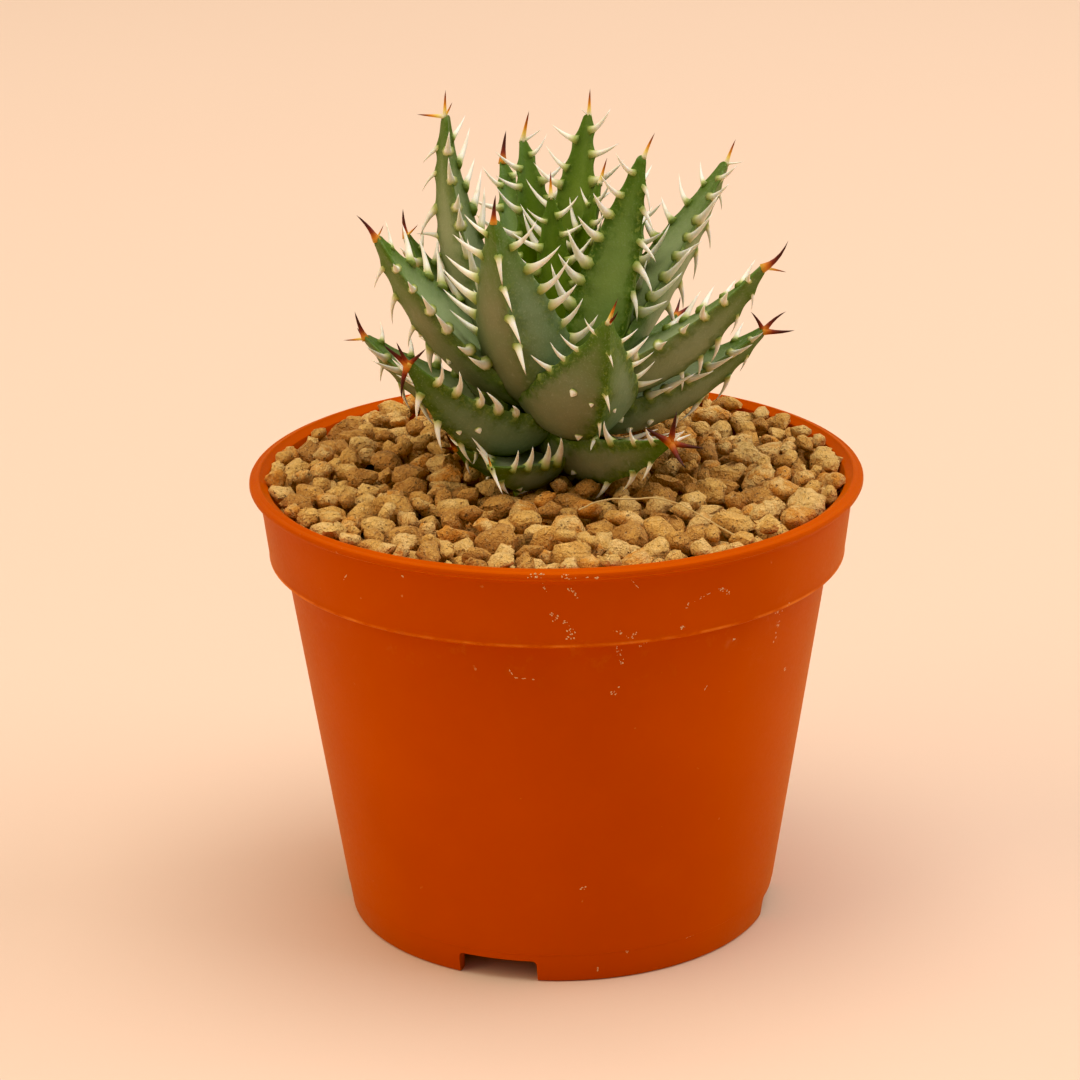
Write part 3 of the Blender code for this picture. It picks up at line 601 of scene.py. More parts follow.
# How much more the margin teeth stand up, where it is more than usual.
RAISED = {"leaf_23": 1.3, "leaf_22": 0.35}
# Leaves whose waxy bloom is paler than usual, and how much.
WAX = {
    "leaf_05": 0.5, "leaf_08": 0.3, "leaf_12": 0.4, "leaf_16": 0.3, "leaf_22": 0.15,
    "leaf_23": 0.3, "leaf_24": 0.3,
}
# Leaves whose outer face carries small pale warts, and how many each has.
WARTS = {
    "leaf_14": 5, "leaf_17": 3, "leaf_16": 5, "leaf_10": 2, "leaf_22": 3, "leaf_23": 2,
    "leaf_15": 3,
}
draw = random.Random(5)


def mark(piece, name, values):
    """Gives each corner of a piece a value that its finish reads."""
    piece.data.attributes.new(name, "FLOAT", "POINT").data.foreach_set("value", values)


def tree_of(piece):
    """The faces of a piece, ready to be searched for touching or near ones."""
    corners = [corner.co.copy() for corner in piece.data.vertices]
    return BVHTree.FromPolygons(corners, [tuple(face.vertices) for face in piece.data.polygons])


def eased(share):
    """Width, thickness and keel at a share of the length, on a smooth curve."""
    stations = LEAF_STATIONS
    index = 0
    while index < len(stations) - 2 and share > stations[index + 1][0]:
        index += 1
    low, high = stations[index], stations[index + 1]
    before = stations[max(index - 1, 0)]
    after = stations[min(index + 2, len(stations) - 1)]
    gap = high[0] - low[0]
    part = min(1.0, (share - low[0]) / gap)
    values = []
    for column in (1, 2, 3):
        leave = (high[column] - before[column]) / (high[0] - before[0]) * gap
        arrive = (after[column] - low[column]) / (after[0] - low[0]) * gap
        square, cube = part * part, part * part * part
        value = (2 * cube - 3 * square + 1) * low[column] + (cube - 2 * square + part) * leave
        value += (3 * square - 2 * cube) * high[column] + (cube - square) * arrive
        values.append(value)
    return values


class Leaf:
    """One leaf: a bowed rib, the section across it, and the seats of its teeth."""

    def __init__(self, row):
        self.name, azimuth, base_reach, base_height, tip_reach, tip_height = row[:6]
        lean, turn, width, thickness, self.taper, self.age = row[6:]
        azimuth, lean = math.radians(azimuth), math.radians(lean)
        self.turn = math.radians(turn)
        self.width, self.thickness = width * MM, thickness * MM
        self.fold = FOLDS.get(self.name, 0.0)
        self.outward = Vector((math.cos(azimuth), math.sin(azimuth), 0.0))
        self.sideways = Vector((-math.sin(azimuth), math.cos(azimuth), 0.0))
        up = Vector((0.0, 0.0, 1.0))
        self.start = (self.outward * base_reach + up * base_height) * MM
        self.end = (self.outward * tip_reach + up * tip_height) * MM
        self.length = (self.end - self.start).length
        heading = self.outward * math.cos(lean) + up * math.sin(lean)
        self.middle = self.start + heading * self.length * 0.5
        self.seats = self.find_seats()

    def frame(self, share):
        rest = 1.0 - share
        point = self.start * rest * rest + self.middle * 2.0 * share * rest + self.end * share * share
        along = ((self.middle - self.start) * rest + (self.end - self.middle) * share).normalized()
        across = (self.sideways - along * along.dot(self.sideways)).normalized()
        above = along.cross(across)
        turned_across = across * math.cos(self.turn) + above * math.sin(self.turn)
        turned_above = above * math.cos(self.turn) - across * math.sin(self.turn)
        return point, along, turned_across, turned_above

    def sizes(self, share):
        wide, thick, keel = eased(share)
        half = self.width * max(0.05, wide) ** self.taper / 2.0
        lift = 0.20 * half * min(1.0, (1.0 - share) * 4.0)
        return half, self.thickness * thick, min(1.0, max(0.0, keel)), lift

    def find_seats(self):
        """Where the teeth stand: (row, share), with row 1 or -1 a margin and 0 the keel."""
        seats = []
        count = max(4, round(self.length * 0.80 / (TOOTH_GAPS.get(self.name, MARGIN_GAP) * MM)))
        for side, offset in ((1, 0.30), (-1, 0.75)):
            for index in range(count):
                shift = draw.uniform(-0.15, 0.15)
                seats.append((side, 0.15 + 0.82 * (index + offset + shift) / count))
        count = max(2, round(self.length * 0.58 / (KEEL_GAP * MM)))
        for index in range(count):
            shift = draw.uniform(-0.15, 0.15)
            seats.append((0, 0.38 + 0.58 * (index + 0.5 + shift) / count))
        return [(row, share) for row, share in seats if share < 0.975]

    def skin(self, around, share, swell, plain):
        """Spot on the skin, its distances from margin and keel in mm, and its tooth stain."""
        half, back, keel, lift = self.sizes(min(share, 1.0))
        point, along, across, above = self.current
        closing, forward = 1.0, 0.0
        if share > 1.0:
            angle = min(1.0, share - 1.0) * math.pi / 2.0
            closing, forward = math.cos(angle), math.sin(angle) * half * 0.9
        side = math.cos(math.tau * around)
        upper = math.sin(math.tau * around) >= 0.0
        off = (side - self.fold) / (1.0 + math.copysign(self.fold, self.fold * (self.fold - side)))
        off = min(1.0, abs(off))
        bulge, ridge, at_margin, at_keel = 0.0, 0.0, 0.0, 0.0
        if not plain:
            for row, seat in self.seats:
                near = math.exp(-(((share - seat) * self.length / (1.0 * MM)) ** 2))
                if row and row * side > 0.0:
                    bulge += 0.42 * MM * near * abs(side) ** 8
                    at_margin = max(at_margin, near)
                elif row == 0 and not upper:
                    ridge += 0.35 * MM * near * (1.0 - off) ** 4
                    at_keel = max(at_keel, near)
        half += swell
        width = (half + bulge) * side
        edge = min(0.50 * MM, 0.32 * half)
        if upper:
            rise = lift * side * side - 0.3 * lift * (1.0 - side * side) + swell * 0.8
            rise += edge * (math.sqrt(max(0.0, 1.0 - side ** 6)) - (1.0 - side * side))
        else:
            oval = math.sqrt(max(0.0, 1.0 - side * side))
            round_back = oval * (1.0 - 0.7 * keel) + 0.7 * keel * (1.0 - off)
            rise = lift * side * side - (back + swell) * round_back - ridge + swell * 0.8 * abs(side)
        spot = point + across * width * closing + above * rise * closing + along * forward
        gap = half * (1.0 - abs(side)) + (0.0 if upper else 0.3 * (lift - rise))
        keel_gap = 9.0 * MM if upper else half * abs(side - self.fold)
        stain = at_margin * math.exp(-((gap / (1.1 * MM)) ** 2))
        stain = max(stain, at_keel * math.exp(-((keel_gap / (0.9 * MM)) ** 2)))
        return spot, gap / MM, keel_gap / MM, 1.0 if upper else 0.0, stain

    def body(self, name, columns, rows, swell=0.0, plain=False):
        """A flat grid rolled round the rib, merged along its seam and closed at its foot."""
        bpy.ops.object.select_all(action="DESELECT")
        bpy.ops.mesh.primitive_grid_add(x_subdivisions=columns, y_subdivisions=rows, size=1.0)
        made = bpy.context.object
        made.name = name
        mesh = made.data
        mesh.name = name
        notes = {key: [] for key in ("growth", "margin_gap", "keel_gap", "upper", "stain", "key_light_facing")}
        # The level way toward the warm key light on the left. How far each spot of the outer face turns
        # toward it is kept, and the finish paints the face by it: painted light on the side facing the
        # lamp, painted shade on the other.
        key_light_way = Vector((-0.95, -0.30, 0.0))
        last = None
        for corner in mesh.vertices:
            along = corner.co.y + 0.5
            share = along / 0.95 if along < 0.95 else 1.0 + (along - 0.95) / 0.05
            share = share if share > 1.0 else 1.0 - (1.0 - share) ** 1.08
            if last is None or abs(share - last) > 1e-7:
                self.current = self.frame(min(share, 1.0))
                last = share
            spot, margin, keel, upper, stain = self.skin(corner.co.x + 0.5, share, swell, plain)
            notes["stain"].append(stain)
            outward = (spot - self.current[0]).normalized()
            if not upper:
                side = math.copysign(0.7, math.cos(math.tau * (corner.co.x + 0.5)) - self.fold)
                flank = self.current[2] * side - self.current[3] * 0.7
                outward = outward.lerp(flank, self.sizes(min(share, 1.0))[2])
            notes["key_light_facing"].append(outward.dot(key_light_way))
            corner.co = spot
            notes["growth"].append(min(share, 1.0))
            notes["margin_gap"].append(margin)
            notes["keel_gap"].append(keel)
            notes["upper"].append(upper)
        for key, values in notes.items():
            mark(made, key, values)
        bpy.ops.object.mode_set(mode="EDIT")
        bpy.ops.mesh.select_all(action="SELECT")
        bpy.ops.mesh.remove_doubles(threshold=0.002 * MM)
        bpy.ops.mesh.select_all(action="DESELECT")
        bpy.ops.mesh.select_mode(type="EDGE")
        bpy.ops.mesh.select_non_manifold(extend=False, use_boundary=True, use_wire=False)
        bpy.ops.mesh.edge_face_add()
        bpy.ops.mesh.select_mode(type="VERT")
        face_out()
        return made


def model_thorn(name, sides, rings):
    """A thorn one unit long: a flared root, drawn up ring by ring on a bow to its point."""
    height, radius, bow = 0.0, rings[0][1], 0.0
    circle = bpy.ops.mesh.primitive_circle_add
    made = begin(name, circle, vertices=sides, radius=radius, fill_type="NGON")
    for next_height, next_radius, next_bow in rings[1:-1]:
        step = (next_bow - bow, 0.0, next_height - height)
        bpy.ops.mesh.extrude_region_move(TRANSFORM_OT_translate={"value": step})
        scale = next_radius / radius
        place = (next_bow, 0.0, 0.0)
        bpy.ops.transform.resize(value=(scale, scale, 1.0), center_override=place)
        height, radius, bow = next_height, next_radius, next_bow
    bpy.ops.mesh.extrude_region_move(
        TRANSFORM_OT_translate={"value": (rings[-1][2] - bow, 0.0, rings[-1][0] - height)}
    )
    bpy.ops.mesh.merge(type="CENTER")
    face_out()
    bpy.ops.object.shade_smooth()
    mark(made, "rise", [corner.co.z for corner in made.data.vertices])
    return made


TOOTH_BOWS = (0.34, 0.52, 0.72)
TOOTH_SHAPE = (
    (0.0, 0.165), (0.09, 0.140), (0.17, 0.112), (0.27, 0.093), (0.42, 0.077), (0.60, 0.057),
    (0.80, 0.033), (1.0, 0.0),
)
SPINE_SHAPE = (
    (0.0, 0.105), (0.12, 0.090), (0.26, 0.066), (0.44, 0.050), (0.64, 0.036), (0.84, 0.020),
    (1.0, 0.0),
)
teeth = []
for bow in TOOTH_BOWS:
    rings = [(height, radius, bow * max(0.0, height - 0.1) ** 1.7) for height, radius in TOOTH_SHAPE]
    teeth.append(model_thorn("tooth_pattern", 8, rings))
spines = {}
for bow in sorted({row[4] for rows in TIP_SPINES.values() for row in rows} | {USUAL_SPINE[1]}):
    rings = [(height, radius, bow * height ** 2.2) for height, radius in SPINE_SHAPE]
    spines[bow] = model_thorn("spine_pattern", 8, rings)
WART_SHAPE = ((0.0, 0.95), (0.30, 0.86), (0.60, 0.55), (0.85, 0.25), (1.0, 0.0))
wart = model_thorn("wart_pattern", 8, [(height, radius, 0.1 * height) for height, radius in WART_SHAPE])


def set_thorn(pattern, root, way, bow_way, length, thick, material, age, sunk):
    """Copies a thorn onto the skin, its bow turned the given way."""
    way = way.normalized()
    side = (bow_way - way * way.dot(bow_way)).normalized()
    turn = Matrix((side, way.cross(side), way)).transposed().to_4x4()
    size = Matrix.Diagonal((length * thick, length * thick, length, 1.0))
    copy = copied(pattern, Matrix.Translation(root - way * sunk) @ turn @ size)
    copy.data.materials.append(material)
    mark(copy, "age", [age] * len(copy.data.vertices))
    return copy


skin = Finish("leaf_skin")
growth = skin.own("growth")
margin_gap = skin.own("margin_gap")
keel_gap = skin.own("keel_gap")
upper = skin.own("upper")
stain = skin.own("stain")
key_light_facing = skin.own("key_light_facing")
age = skin.own("age")
lining = skin.own("lining")
patches = skin.noise(130.0, 3.0, 0.55)
mottle = skin.noise(650.0, 4.0, 0.6)
grain = skin.noise(3200.0, 2.0, 0.6)
patchy = skin.spread(patches, 0.35, 0.65)
green = skin.blend(patchy, (0.128, 0.215, 0.006), (0.175, 0.262, 0.018))
sage = skin.blend(skin.spread(patches, 0.35, 0.68), (0.270, 0.335, 0.180), (0.350, 0.400, 0.245))
# Painted light and shade on the outer face: the warm mauve stands for the key light falling on the side
# turned toward it, and the shaded colour for the side turned away.
shaded = skin.blend(patchy, (0.185, 0.256, 0.140), (0.224, 0.282, 0.156))
warm_lit_mauve = skin.blend(patchy, (0.236, 0.226, 0.128), (0.196, 0.212, 0.114))
back = skin.blend(skin.spread(key_light_facing, 0.1, 0.55), shaded, warm_lit_mauve)
inner_face = skin.blend(age, green, sage)
outer_face = skin.blend(skin.combine("POWER", age, 0.7), green, back)
colour = skin.blend(upper, outer_face, inner_face)
colour = skin.blend(skin.own("wax"), colour, (0.42, 0.45, 0.29))
wander = skin.spread(mottle, 0.3, 0.7, -0.7, 0.7)
nearest = skin.combine("ADD", skin.combine("MINIMUM", margin_gap, keel_gap), wander)
leafy = skin.blend(skin.spread(patches, 0.3, 0.7), (0.040, 0.094, 0.002), (0.072, 0.142, 0.003))
halo = skin.spread(nearest, 0.5, 3.0, 0.35, 0.0)
halo = skin.times(halo, skin.spread(lining, 0.0, 1.0, 0.4, 1.0))
colour = skin.blend(halo, colour, leafy)
line = skin.times(skin.spread(nearest, 0.4, 1.6, 1.0, 0.0), lining)
blotch = skin.combine("ADD", stain, skin.spread(mottle, 0.3, 0.7, -0.2, 0.2))
blotch = skin.spread(blotch, 0.22, 0.6, 0.0, 0.9)
blotch = skin.times(blotch, skin.spread(lining, 0.0, 1.0, 0.3, 1.0))
lined = skin.combine("MAXIMUM", line, blotch)
colour = skin.blend(lined, colour, leafy)
speckle = skin.spread(skin.noise(1500.0, 2.0, 0.5), 0.52, 0.66, 0.0, 0.6)
speckle = skin.times(speckle, lined)
colour = skin.blend(speckle, colour, (0.27, 0.33, 0.06))
colour = skin.blend(skin.spread(stain, 0.62, 0.92, 0.0, 0.85), colour, (0.27, 0.34, 0.07))
tip = skin.times(skin.spread(growth, 0.62, 0.95), skin.spread(mottle, 0.3, 0.62, 0.35, 1.0))
colour = skin.blend(tip, colour, (0.082, 0.152, 0.006))
bloom = skin.spread(grain, 0.56, 0.74, 0.0, 0.22)
bloom = skin.times(bloom, skin.spread(age, 0.0, 0.5, 0.2, 1.0))
colour = skin.blend(bloom, colour, (0.42, 0.46, 0.30))
flecks = skin.spread(skin.noise(900.0, 2.0, 0.5), 0.72, 0.78, 0.0, 0.22)
colour = skin.blend(flecks, colour, (0.45, 0.47, 0.32))
skin.set("Base Color", colour)
skin.set("Roughness", skin.spread(mottle, 0.3, 0.7, 0.40, 0.54))
pores = skin.raised(grain, 0.00005, 0.5)
skin.set("Normal", skin.raised(mottle, 0.00025, 0.4, pores))
skin.glow(0.10, (0.0012, 0.0016, 0.0005))
skin.set("IOR", 1.42)
skin.set("Specular IOR Level", 0.36)

horn = Finish("tooth_horn")
rise = horn.own("rise")
cream = horn.steps(
    rise,
    (
        (0.0, (0.20, 0.27, 0.04)),
        (0.11, (0.36, 0.40, 0.10)),
        (0.22, (0.70, 0.66, 0.36)),
        (0.36, (0.92, 0.86, 0.71)),
        (1.0, (0.92, 0.84, 0.68)),
    ),
)
worn_tip = horn.spread(horn.noise(380.0, 2.0), 0.62, 0.74, 0.0, 0.5)
horn.set("Base Color", horn.blend(worn_tip, cream, (0.62, 0.50, 0.28)))
horn.set("Roughness", 0.42)
horn.glow(0.25, (0.0010, 0.0008, 0.0004))

dart = Finish("spine_horn")
rise = dart.own("rise")
fresh = dart.steps(
    rise,
    (
        (0.0, (0.30, 0.30, 0.08)),
        (0.12, (0.80, 0.72, 0.45)),
        (0.32, (0.88, 0.62, 0.14)),
        (0.50, (0.75, 0.27, 0.015)),
        (0.74, (0.28, 0.05, 0.008)),
        (1.0, (0.05, 0.015, 0.01)),
    ),
)
dry = dart.steps(
    rise,
    (
        (0.0, (0.66, 0.36, 0.05)),
        (0.16, (0.60, 0.18, 0.012)),
        (0.34, (0.22, 0.026, 0.006)),
        (0.55, (0.09, 0.012, 0.006)),
        (1.0, (0.03, 0.012, 0.010)),
    ),
)
dart.set("Base Color", dart.blend(dart.own("age"), fresh, dry))
dart.set("Roughness", 0.5)
dart.set("Specular IOR Level", 0.25)
dart.glow(0.12, (0.0010, 0.0006, 0.0003))


def seat_of(leaf, row, share):
    """Root, direction and bow of a tooth on a margin or on the keel."""
    point, along, across, above = leaf.frame(share)
    half, back, keel, lift = leaf.sizes(share)
    if row:
        root = point + across * row * (half + 0.05 * MM) + above * lift * 0.95
        lean = draw.uniform(0.10, 0.42)
        lift_up = draw.uniform(0.0, 0.35) + RAISED.get(leaf.name, 0.0)
        way = across * row + along * lean + above * lift_up
        return root, way.normalized(), along + above * 0.2
    root = point - above * (back + 0.05 * MM) + across * half * leaf.fold
    way = along * draw.uniform(-0.5, 0.0) - above
    way += across * (draw.uniform(-0.2, 0.25) + leaf.fold * 1.8)
    return root, way.normalized(), -along


def blocked(trees, own, root, way, bow_way, length, bow):
    """True where a thorn would run into another leaf or the grit below."""
    side = (bow_way - way * way.dot(bow_way)).normalized()
    for share in (0.12, 0.3, 0.5, 0.7, 0.85, 1.0):
        spot = root + way * length * share + side * bow * length * share ** 1.8
        if spot.z < LOWEST_TOOTH * MM:
            return True
        radius = 0.16 * length * (1.0 - share) + 0.12 * MM
        for name, tree in trees.items():
            if name == own:
                continue
            found, normal, index, gap = tree.find_nearest(spot, radius)
            if found is not None:
                return True
            found, normal, index, gap = tree.ray_cast(spot, Vector((0.0, 0.0, 1.0)))
            if found is not None and normal.z > 0.0:
                return True
    return False


designs = [Leaf(row) for row in LEAVES]
bodies = {}
boxes = {}
for place, leaf in enumerate(designs):
    body = leaf.body(leaf.name + "_body", LEAF_AROUND, LEAF_ALONG)
    corners = np.array([corner.co for corner in body.data.vertices])
    boxes[leaf.name] = (corners.min(0) - 0.001, corners.max(0) + 0.001)
    for inner in designs[:place]:
        low, high = boxes[inner.name]
        mine_low, mine_high = boxes[leaf.name]
        if np.all(low < mine_high) and np.all(high > mine_low):
            cut(body, inner.body("cutter", 20, 40, LEAF_CLEARANCE * MM, True), "MANIFOLD")
    only(stem)
    bpy.ops.object.duplicate()
    core = bpy.context.object
    core.parent = None
    for corner in core.data.vertices:
        level = Vector((corner.co.x, corner.co.y, 0.0)).normalized()
        corner.co = corner.co + level * STEM_CLEARANCE * MM
    cut(body, core, "MANIFOLD")
    only(body)
    bpy.ops.object.mode_set(mode="EDIT")
    bpy.ops.mesh.select_all(action="SELECT")
    bpy.ops.mesh.separate(type="LOOSE")
    bpy.ops.object.mode_set(mode="OBJECT")
    parts = sorted(bpy.context.selected_objects, key=lambda part: len(part.data.vertices))
    for scrap in parts[:-1]:
        bpy.data.objects.remove(scrap)
    body = parts[-1]
    body.name = leaf.name + "_body"
    only(body)
    smooth(45.0)
    bodies[leaf.name] = body

trees = {name: tree_of(body) for name, body in bodies.items()}

for leaf in designs:
    body = bodies[leaf.name]
    own = trees[leaf.name]
    parts = [body]
    body.data.materials.clear()
    body.data.materials.append(skin.material)
    corner_count = len(body.data.vertices)
    mark(body, "age", [leaf.age] * corner_count)
    mark(body, "lining", [LINING.get(leaf.name, USUAL_LINING)] * corner_count)
    mark(body, "wax", [WAX.get(leaf.name, 0.0)] * corner_count)
    scale = min(1.0, leaf.width / (10.0 * MM)) ** 0.5
    for row, share in leaf.seats:
        root, way, bow_way = seat_of(leaf, row, share)
        if own.find_nearest(root, OFF_SKIN * MM)[0] is None:
            continue
        length = (MARGIN_TOOTH if row else KEEL_TOOTH) * MM * scale * draw.uniform(0.85, 1.12)
        length *= SHORTER.get(leaf.name, 1.0)
        length *= 0.62 + 0.38 * min(1.0, (1.0 - share) * 3.2) * min(1.0, share * 3.5)
        # Straight out comes first, then ways bent further and further from it.
        choices = [way]
        point, along, across, above = leaf.frame(share)
        for amount in (0.3, 0.6, 1.0, 1.5):
            choices += [way + along * amount, way - above * amount * 0.8, way + above * amount]
            choices.append(way - along * amount * 0.5 - above * amount * 0.3)
        if row:
            choices += [way - above * 2.5, way + along * 1.5 - above * 1.5, way + along * 2.5]
        pick = draw.choice((0, 1, 1, 2))
        for place, choice in enumerate(choices):
            choice = choice.normalized()
            reach = length if place < 9 else length * 0.8
            if not blocked(trees, leaf.name, root, choice, bow_way, reach, TOOTH_BOWS[pick]):
                thick = draw.uniform(0.9, 1.1) * (1.0 if row else KEEL_THICK)
                seat = (root, choice, bow_way, reach, thick)
                parts.append(set_thorn(teeth[pick], *seat, horn.material, 0.0, TOOTH_SUNK * MM))
                break
    for index in range(WARTS.get(leaf.name, 0)):
        share = draw.uniform(0.16, 0.62)
        side = draw.uniform(-0.75, 0.75)
        leaf.current = leaf.frame(share)
        around = 1.0 - math.acos(side) / math.tau
        root = leaf.skin(around, share, 0.0, True)[0]
        point, along, across, above = leaf.current
        way = across * side - above * 0.8 - along * 0.3
        size = draw.uniform(0.6, 1.0) * MM
        if not blocked(trees, leaf.name, root, way.normalized(), -along, size * 1.2, 0.0):
            parts.append(
                set_thorn(wart, root, way, -along, size, 0.75, horn.material, 0.0, size * 0.35)
            )
    half, back, keel, lift = leaf.sizes(1.0)
    point, along, across, above = leaf.frame(1.0)
    apex = point + along * half * 0.75 - above * back * 0.4
    rows = TIP_SPINES.get(leaf.name)
    if rows is None:
        rows = ((*along, *USUAL_SPINE),)
    for right, behind, up, length, bow, kind in rows:
        way = Vector((right, behind, up)).normalized()
        bow_way = Vector((0.0, 0.0, 1.0)) if abs(way.z) < 0.9 else Vector((1.0, 0.0, 0.0))
        finish = horn.material if kind == 0 else dart.material
        tone = 1.0 if kind == 2 else 0.0
        thick = DARK_THICK if kind == 2 else 1.0
        length *= DARK_LONG if kind == 2 and leaf.name not in NOT_LONG else 1.0
        seat = (apex, way, bow_way, length * MM, thick)
        parts.append(set_thorn(spines[bow], *seat, finish, tone, SPINE_SUNK * MM))
    only(*parts)
    bpy.ops.object.join()
    body.name = leaf.name.replace("leaf", "aloe_leaf")
    body.data.name = body.name
    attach(body, "root")
    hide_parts(leaf.name)

for pattern in teeth + list(spines.values()) + [wart]:
    discard(pattern)


# Gravel. A top dressing of tan, porous, rounded grit, 4 to 7 mm across, poured round the plant on a bed
# painted near black as the shade deep in the gaps between grains. The grains lie on one another and
# stop just under the lip.
BED_LEVEL = 62.0
TOP_LEVEL = 68.9
BED_PROFILE = (
    (3.9, 57.5), (4.0, 62.0), (12.0, 62.0), (22.0, 62.0), (32.0, 62.0), (38.0, 62.0),
    (41.4, 62.0), (40.85, 57.6), (40.5, 57.35), (4.2, 57.35),
)
# Half lengths of the grains, how many shapes and tries there are, and when to stop.
GRAIN_LENGTHS = (1.7, 2.2, 2.5, 2.7, 2.9, 3.2)
GRAIN_PATTERNS = 14
GRAIN_TRIES = 30
MOST_MISSES = 45
MOST_GRAINS = 1300
# How far out grains are dropped, in the field and along the wall, how many go along the
# wall, and how much larger a grain is than the ball that it rests as.
FIELD_REACH = 41.0
WALL_REACH = 42.3
WALL_SHARE = 0.3
GRAIN_GROWN = 1.2
# How far out a grain may lie: the wall's radius at a height, its slope, and the lip's.
ROOM = 42.0
ROOM_HEIGHT = 64.0
WALL_SLOPE = 0.12
LIP_HEIGHT = 66.8
LIP_SLOPE = 0.7
# The grit's heights are kept on a square grid: half its side, and the size of a cell.
REACH = 44.0
CELL = 0.5
scatter = random.Random(17)


def model_grain(seed):
    """A unit grain: a ball chopped by a few flat planes, its edges worn round."""
    pick = random.Random(seed)
    made = begin("grain_pattern", bpy.ops.mesh.primitive_ico_sphere_add, subdivisions=2, radius=1.0)
    for index in range(8):
        side = Vector((pick.gauss(0, 1), pick.gauss(0, 1), pick.gauss(0, 1))).normalized()
        bpy.ops.mesh.select_all(action="SELECT")
        bpy.ops.mesh.bisect(
            plane_co=side * pick.uniform(0.60, 0.86), plane_no=side, use_fill=True, clear_outer=True
        )
    bpy.ops.mesh.select_all(action="SELECT")
    bpy.ops.mesh.remove_doubles(threshold=0.12)
    bpy.ops.mesh.quads_convert_to_tris()
    bpy.ops.mesh.vertices_smooth(factor=0.5, repeat=1)
    bpy.ops.transform.vertex_random(offset=0.075, uniform=0.3, normal=0.7, seed=seed)
    face_out()
    smooth(65.0)
    return made


def grain_heights(turn, size, across, back):
    """Lowest and highest surface of a turned ellipsoid over offsets from its centre."""
    scale = Matrix.Diagonal([1.0 / (side * side) for side in size])
    form = np.array(turn @ scale @ turn.transposed())
    lean = form[0, 2] * across + form[1, 2] * back
    flat = form[0, 0] * across ** 2 + 2 * form[0, 1] * across * back + form[1, 1] * back ** 2 - 1.0
    inside = lean ** 2 - form[2, 2] * flat
    root = np.sqrt(np.maximum(inside, 0.0))
    return (-lean - root) / form[2, 2], (-lean + root) / form[2, 2], inside > 0.0


shade_bed = begin(
    "gravel_shade_bed",
    bpy.ops.mesh.primitive_circle_add,
    vertices=96,
    radius=BED_PROFILE[0][0] * MM,
    fill_type="NOTHING",
    location=(0.0, 0.0, BED_PROFILE[0][1] * MM),
)
follow(BED_PROFILE[1:] + BED_PROFILE[:1], BED_PROFILE[0])
bpy.ops.mesh.select_all(action="SELECT")
bpy.ops.mesh.remove_doubles(threshold=0.01 * MM)
face_out()
settle(shade_bed, 40.0)
# The bed's tone of -1 is painted near black in the grit's finish: painted shade in the gaps between the
# grains.
mark(shade_bed, "tone", [-1.0] * len(shade_bed.data.vertices))

patterns = [model_grain(100 + index) for index in range(GRAIN_PATTERNS)]
leaf_trees = [tree_of(body) for body in bodies.values()]
cells = int(2 * REACH / CELL) + 1
levels = np.full((cells, cells), BED_LEVEL)
grid = (np.arange(cells) * CELL) - REACH
grains = [shade_bed]
misses = 0
while misses < MOST_MISSES and len(grains) < MOST_GRAINS:
    length = scatter.choice(GRAIN_LENGTHS) * scatter.uniform(0.92, 1.1)
    size = (length, length * scatter.uniform(0.55, 0.85), length * scatter.uniform(0.50, 0.75))
    outer = scatter.random() < WALL_SHARE
    turn = Matrix.Rotation(scatter.uniform(0.0, math.tau), 3, "Z")
    for axis in ("X", "Y"):
        turn = turn @ Matrix.Rotation(scatter.gauss(0.0, 0.35), 3, axis)
    spots = []
    for attempt in range(GRAIN_TRIES):
        if outer:
            reach = WALL_REACH - length * scatter.uniform(0.6, 1.2)
        else:
            reach = FIELD_REACH * math.sqrt(scatter.random())
        around = scatter.uniform(0.0, math.tau)
        x, y = reach * math.cos(around), reach * math.sin(around)
        if math.hypot(x, y) < 4.0 + size[1]:
            continue
        left, near = int((x - size[0] + REACH) / CELL), int((y - size[0] + REACH) / CELL)
        right, far = left + int(2 * size[0] / CELL) + 2, near + int(2 * size[0] / CELL) + 2
        if left < 0 or near < 0 or right >= cells or far >= cells:
            continue
        across, back = np.meshgrid(grid[left:right] - x, grid[near:far] - y, indexing="ij")
        low, high, inside = grain_heights(turn, size, across, back)
        if not inside.any():
            continue
        rest = float(np.max((levels[left:right, near:far] - low)[inside]))
        rims = np.hypot(grid[left:right][:, None], grid[near:far][None, :])
        room = ROOM + WALL_SLOPE * (rest - ROOM_HEIGHT) + LIP_SLOPE * max(0.0, rest - LIP_HEIGHT)
        if float(np.max(rims[inside])) > room:
            continue
        top = rest + float(np.max(high[inside]))
        spots.append((top, rest, x, y, (left, right, near, far), high, inside))
    spots.sort(key=lambda spot: spot[0])
    placed = False
    for top, rest, x, y, window, high, inside in spots[:6]:
        limit = TOP_LEVEL + max(0.0, 1.0 - math.hypot(x, y) / 40.0) + scatter.uniform(-0.4, 0.4)
        if top > limit:
            continue
        pattern = scatter.choice(patterns)
        angle = scatter.uniform(0.0, math.tau)
        axis = Vector((scatter.gauss(0, 1), 0.4, scatter.gauss(0, 1)))
        spin = Matrix.Rotation(angle, 4, axis)
        grow = Matrix.Diagonal([side * MM * GRAIN_GROWN for side in size] + [1.0])
        place = Matrix.Translation(Vector((x, y, rest)) * MM)
        copy = copied(pattern, place @ turn.to_4x4() @ grow @ spin)
        shell = tree_of(copy)
        if any(shell.overlap(tree) for tree in leaf_trees):
            discard(copy)
            continue
        mark(copy, "tone", [scatter.uniform(0.0, 1.0)] * len(copy.data.vertices))
        grains.append(copy)
        left, right, near, far = window
        patch = levels[left:right, near:far]
        patch[inside] = np.maximum(patch[inside], (rest + high)[inside])
        placed = True
        break
    misses = 0 if placed else misses + 1
only(*grains)
bpy.ops.object.join()
gravel = bpy.context.object
gravel.name = "gravel_grit"
gravel.data.name = "gravel_grit"

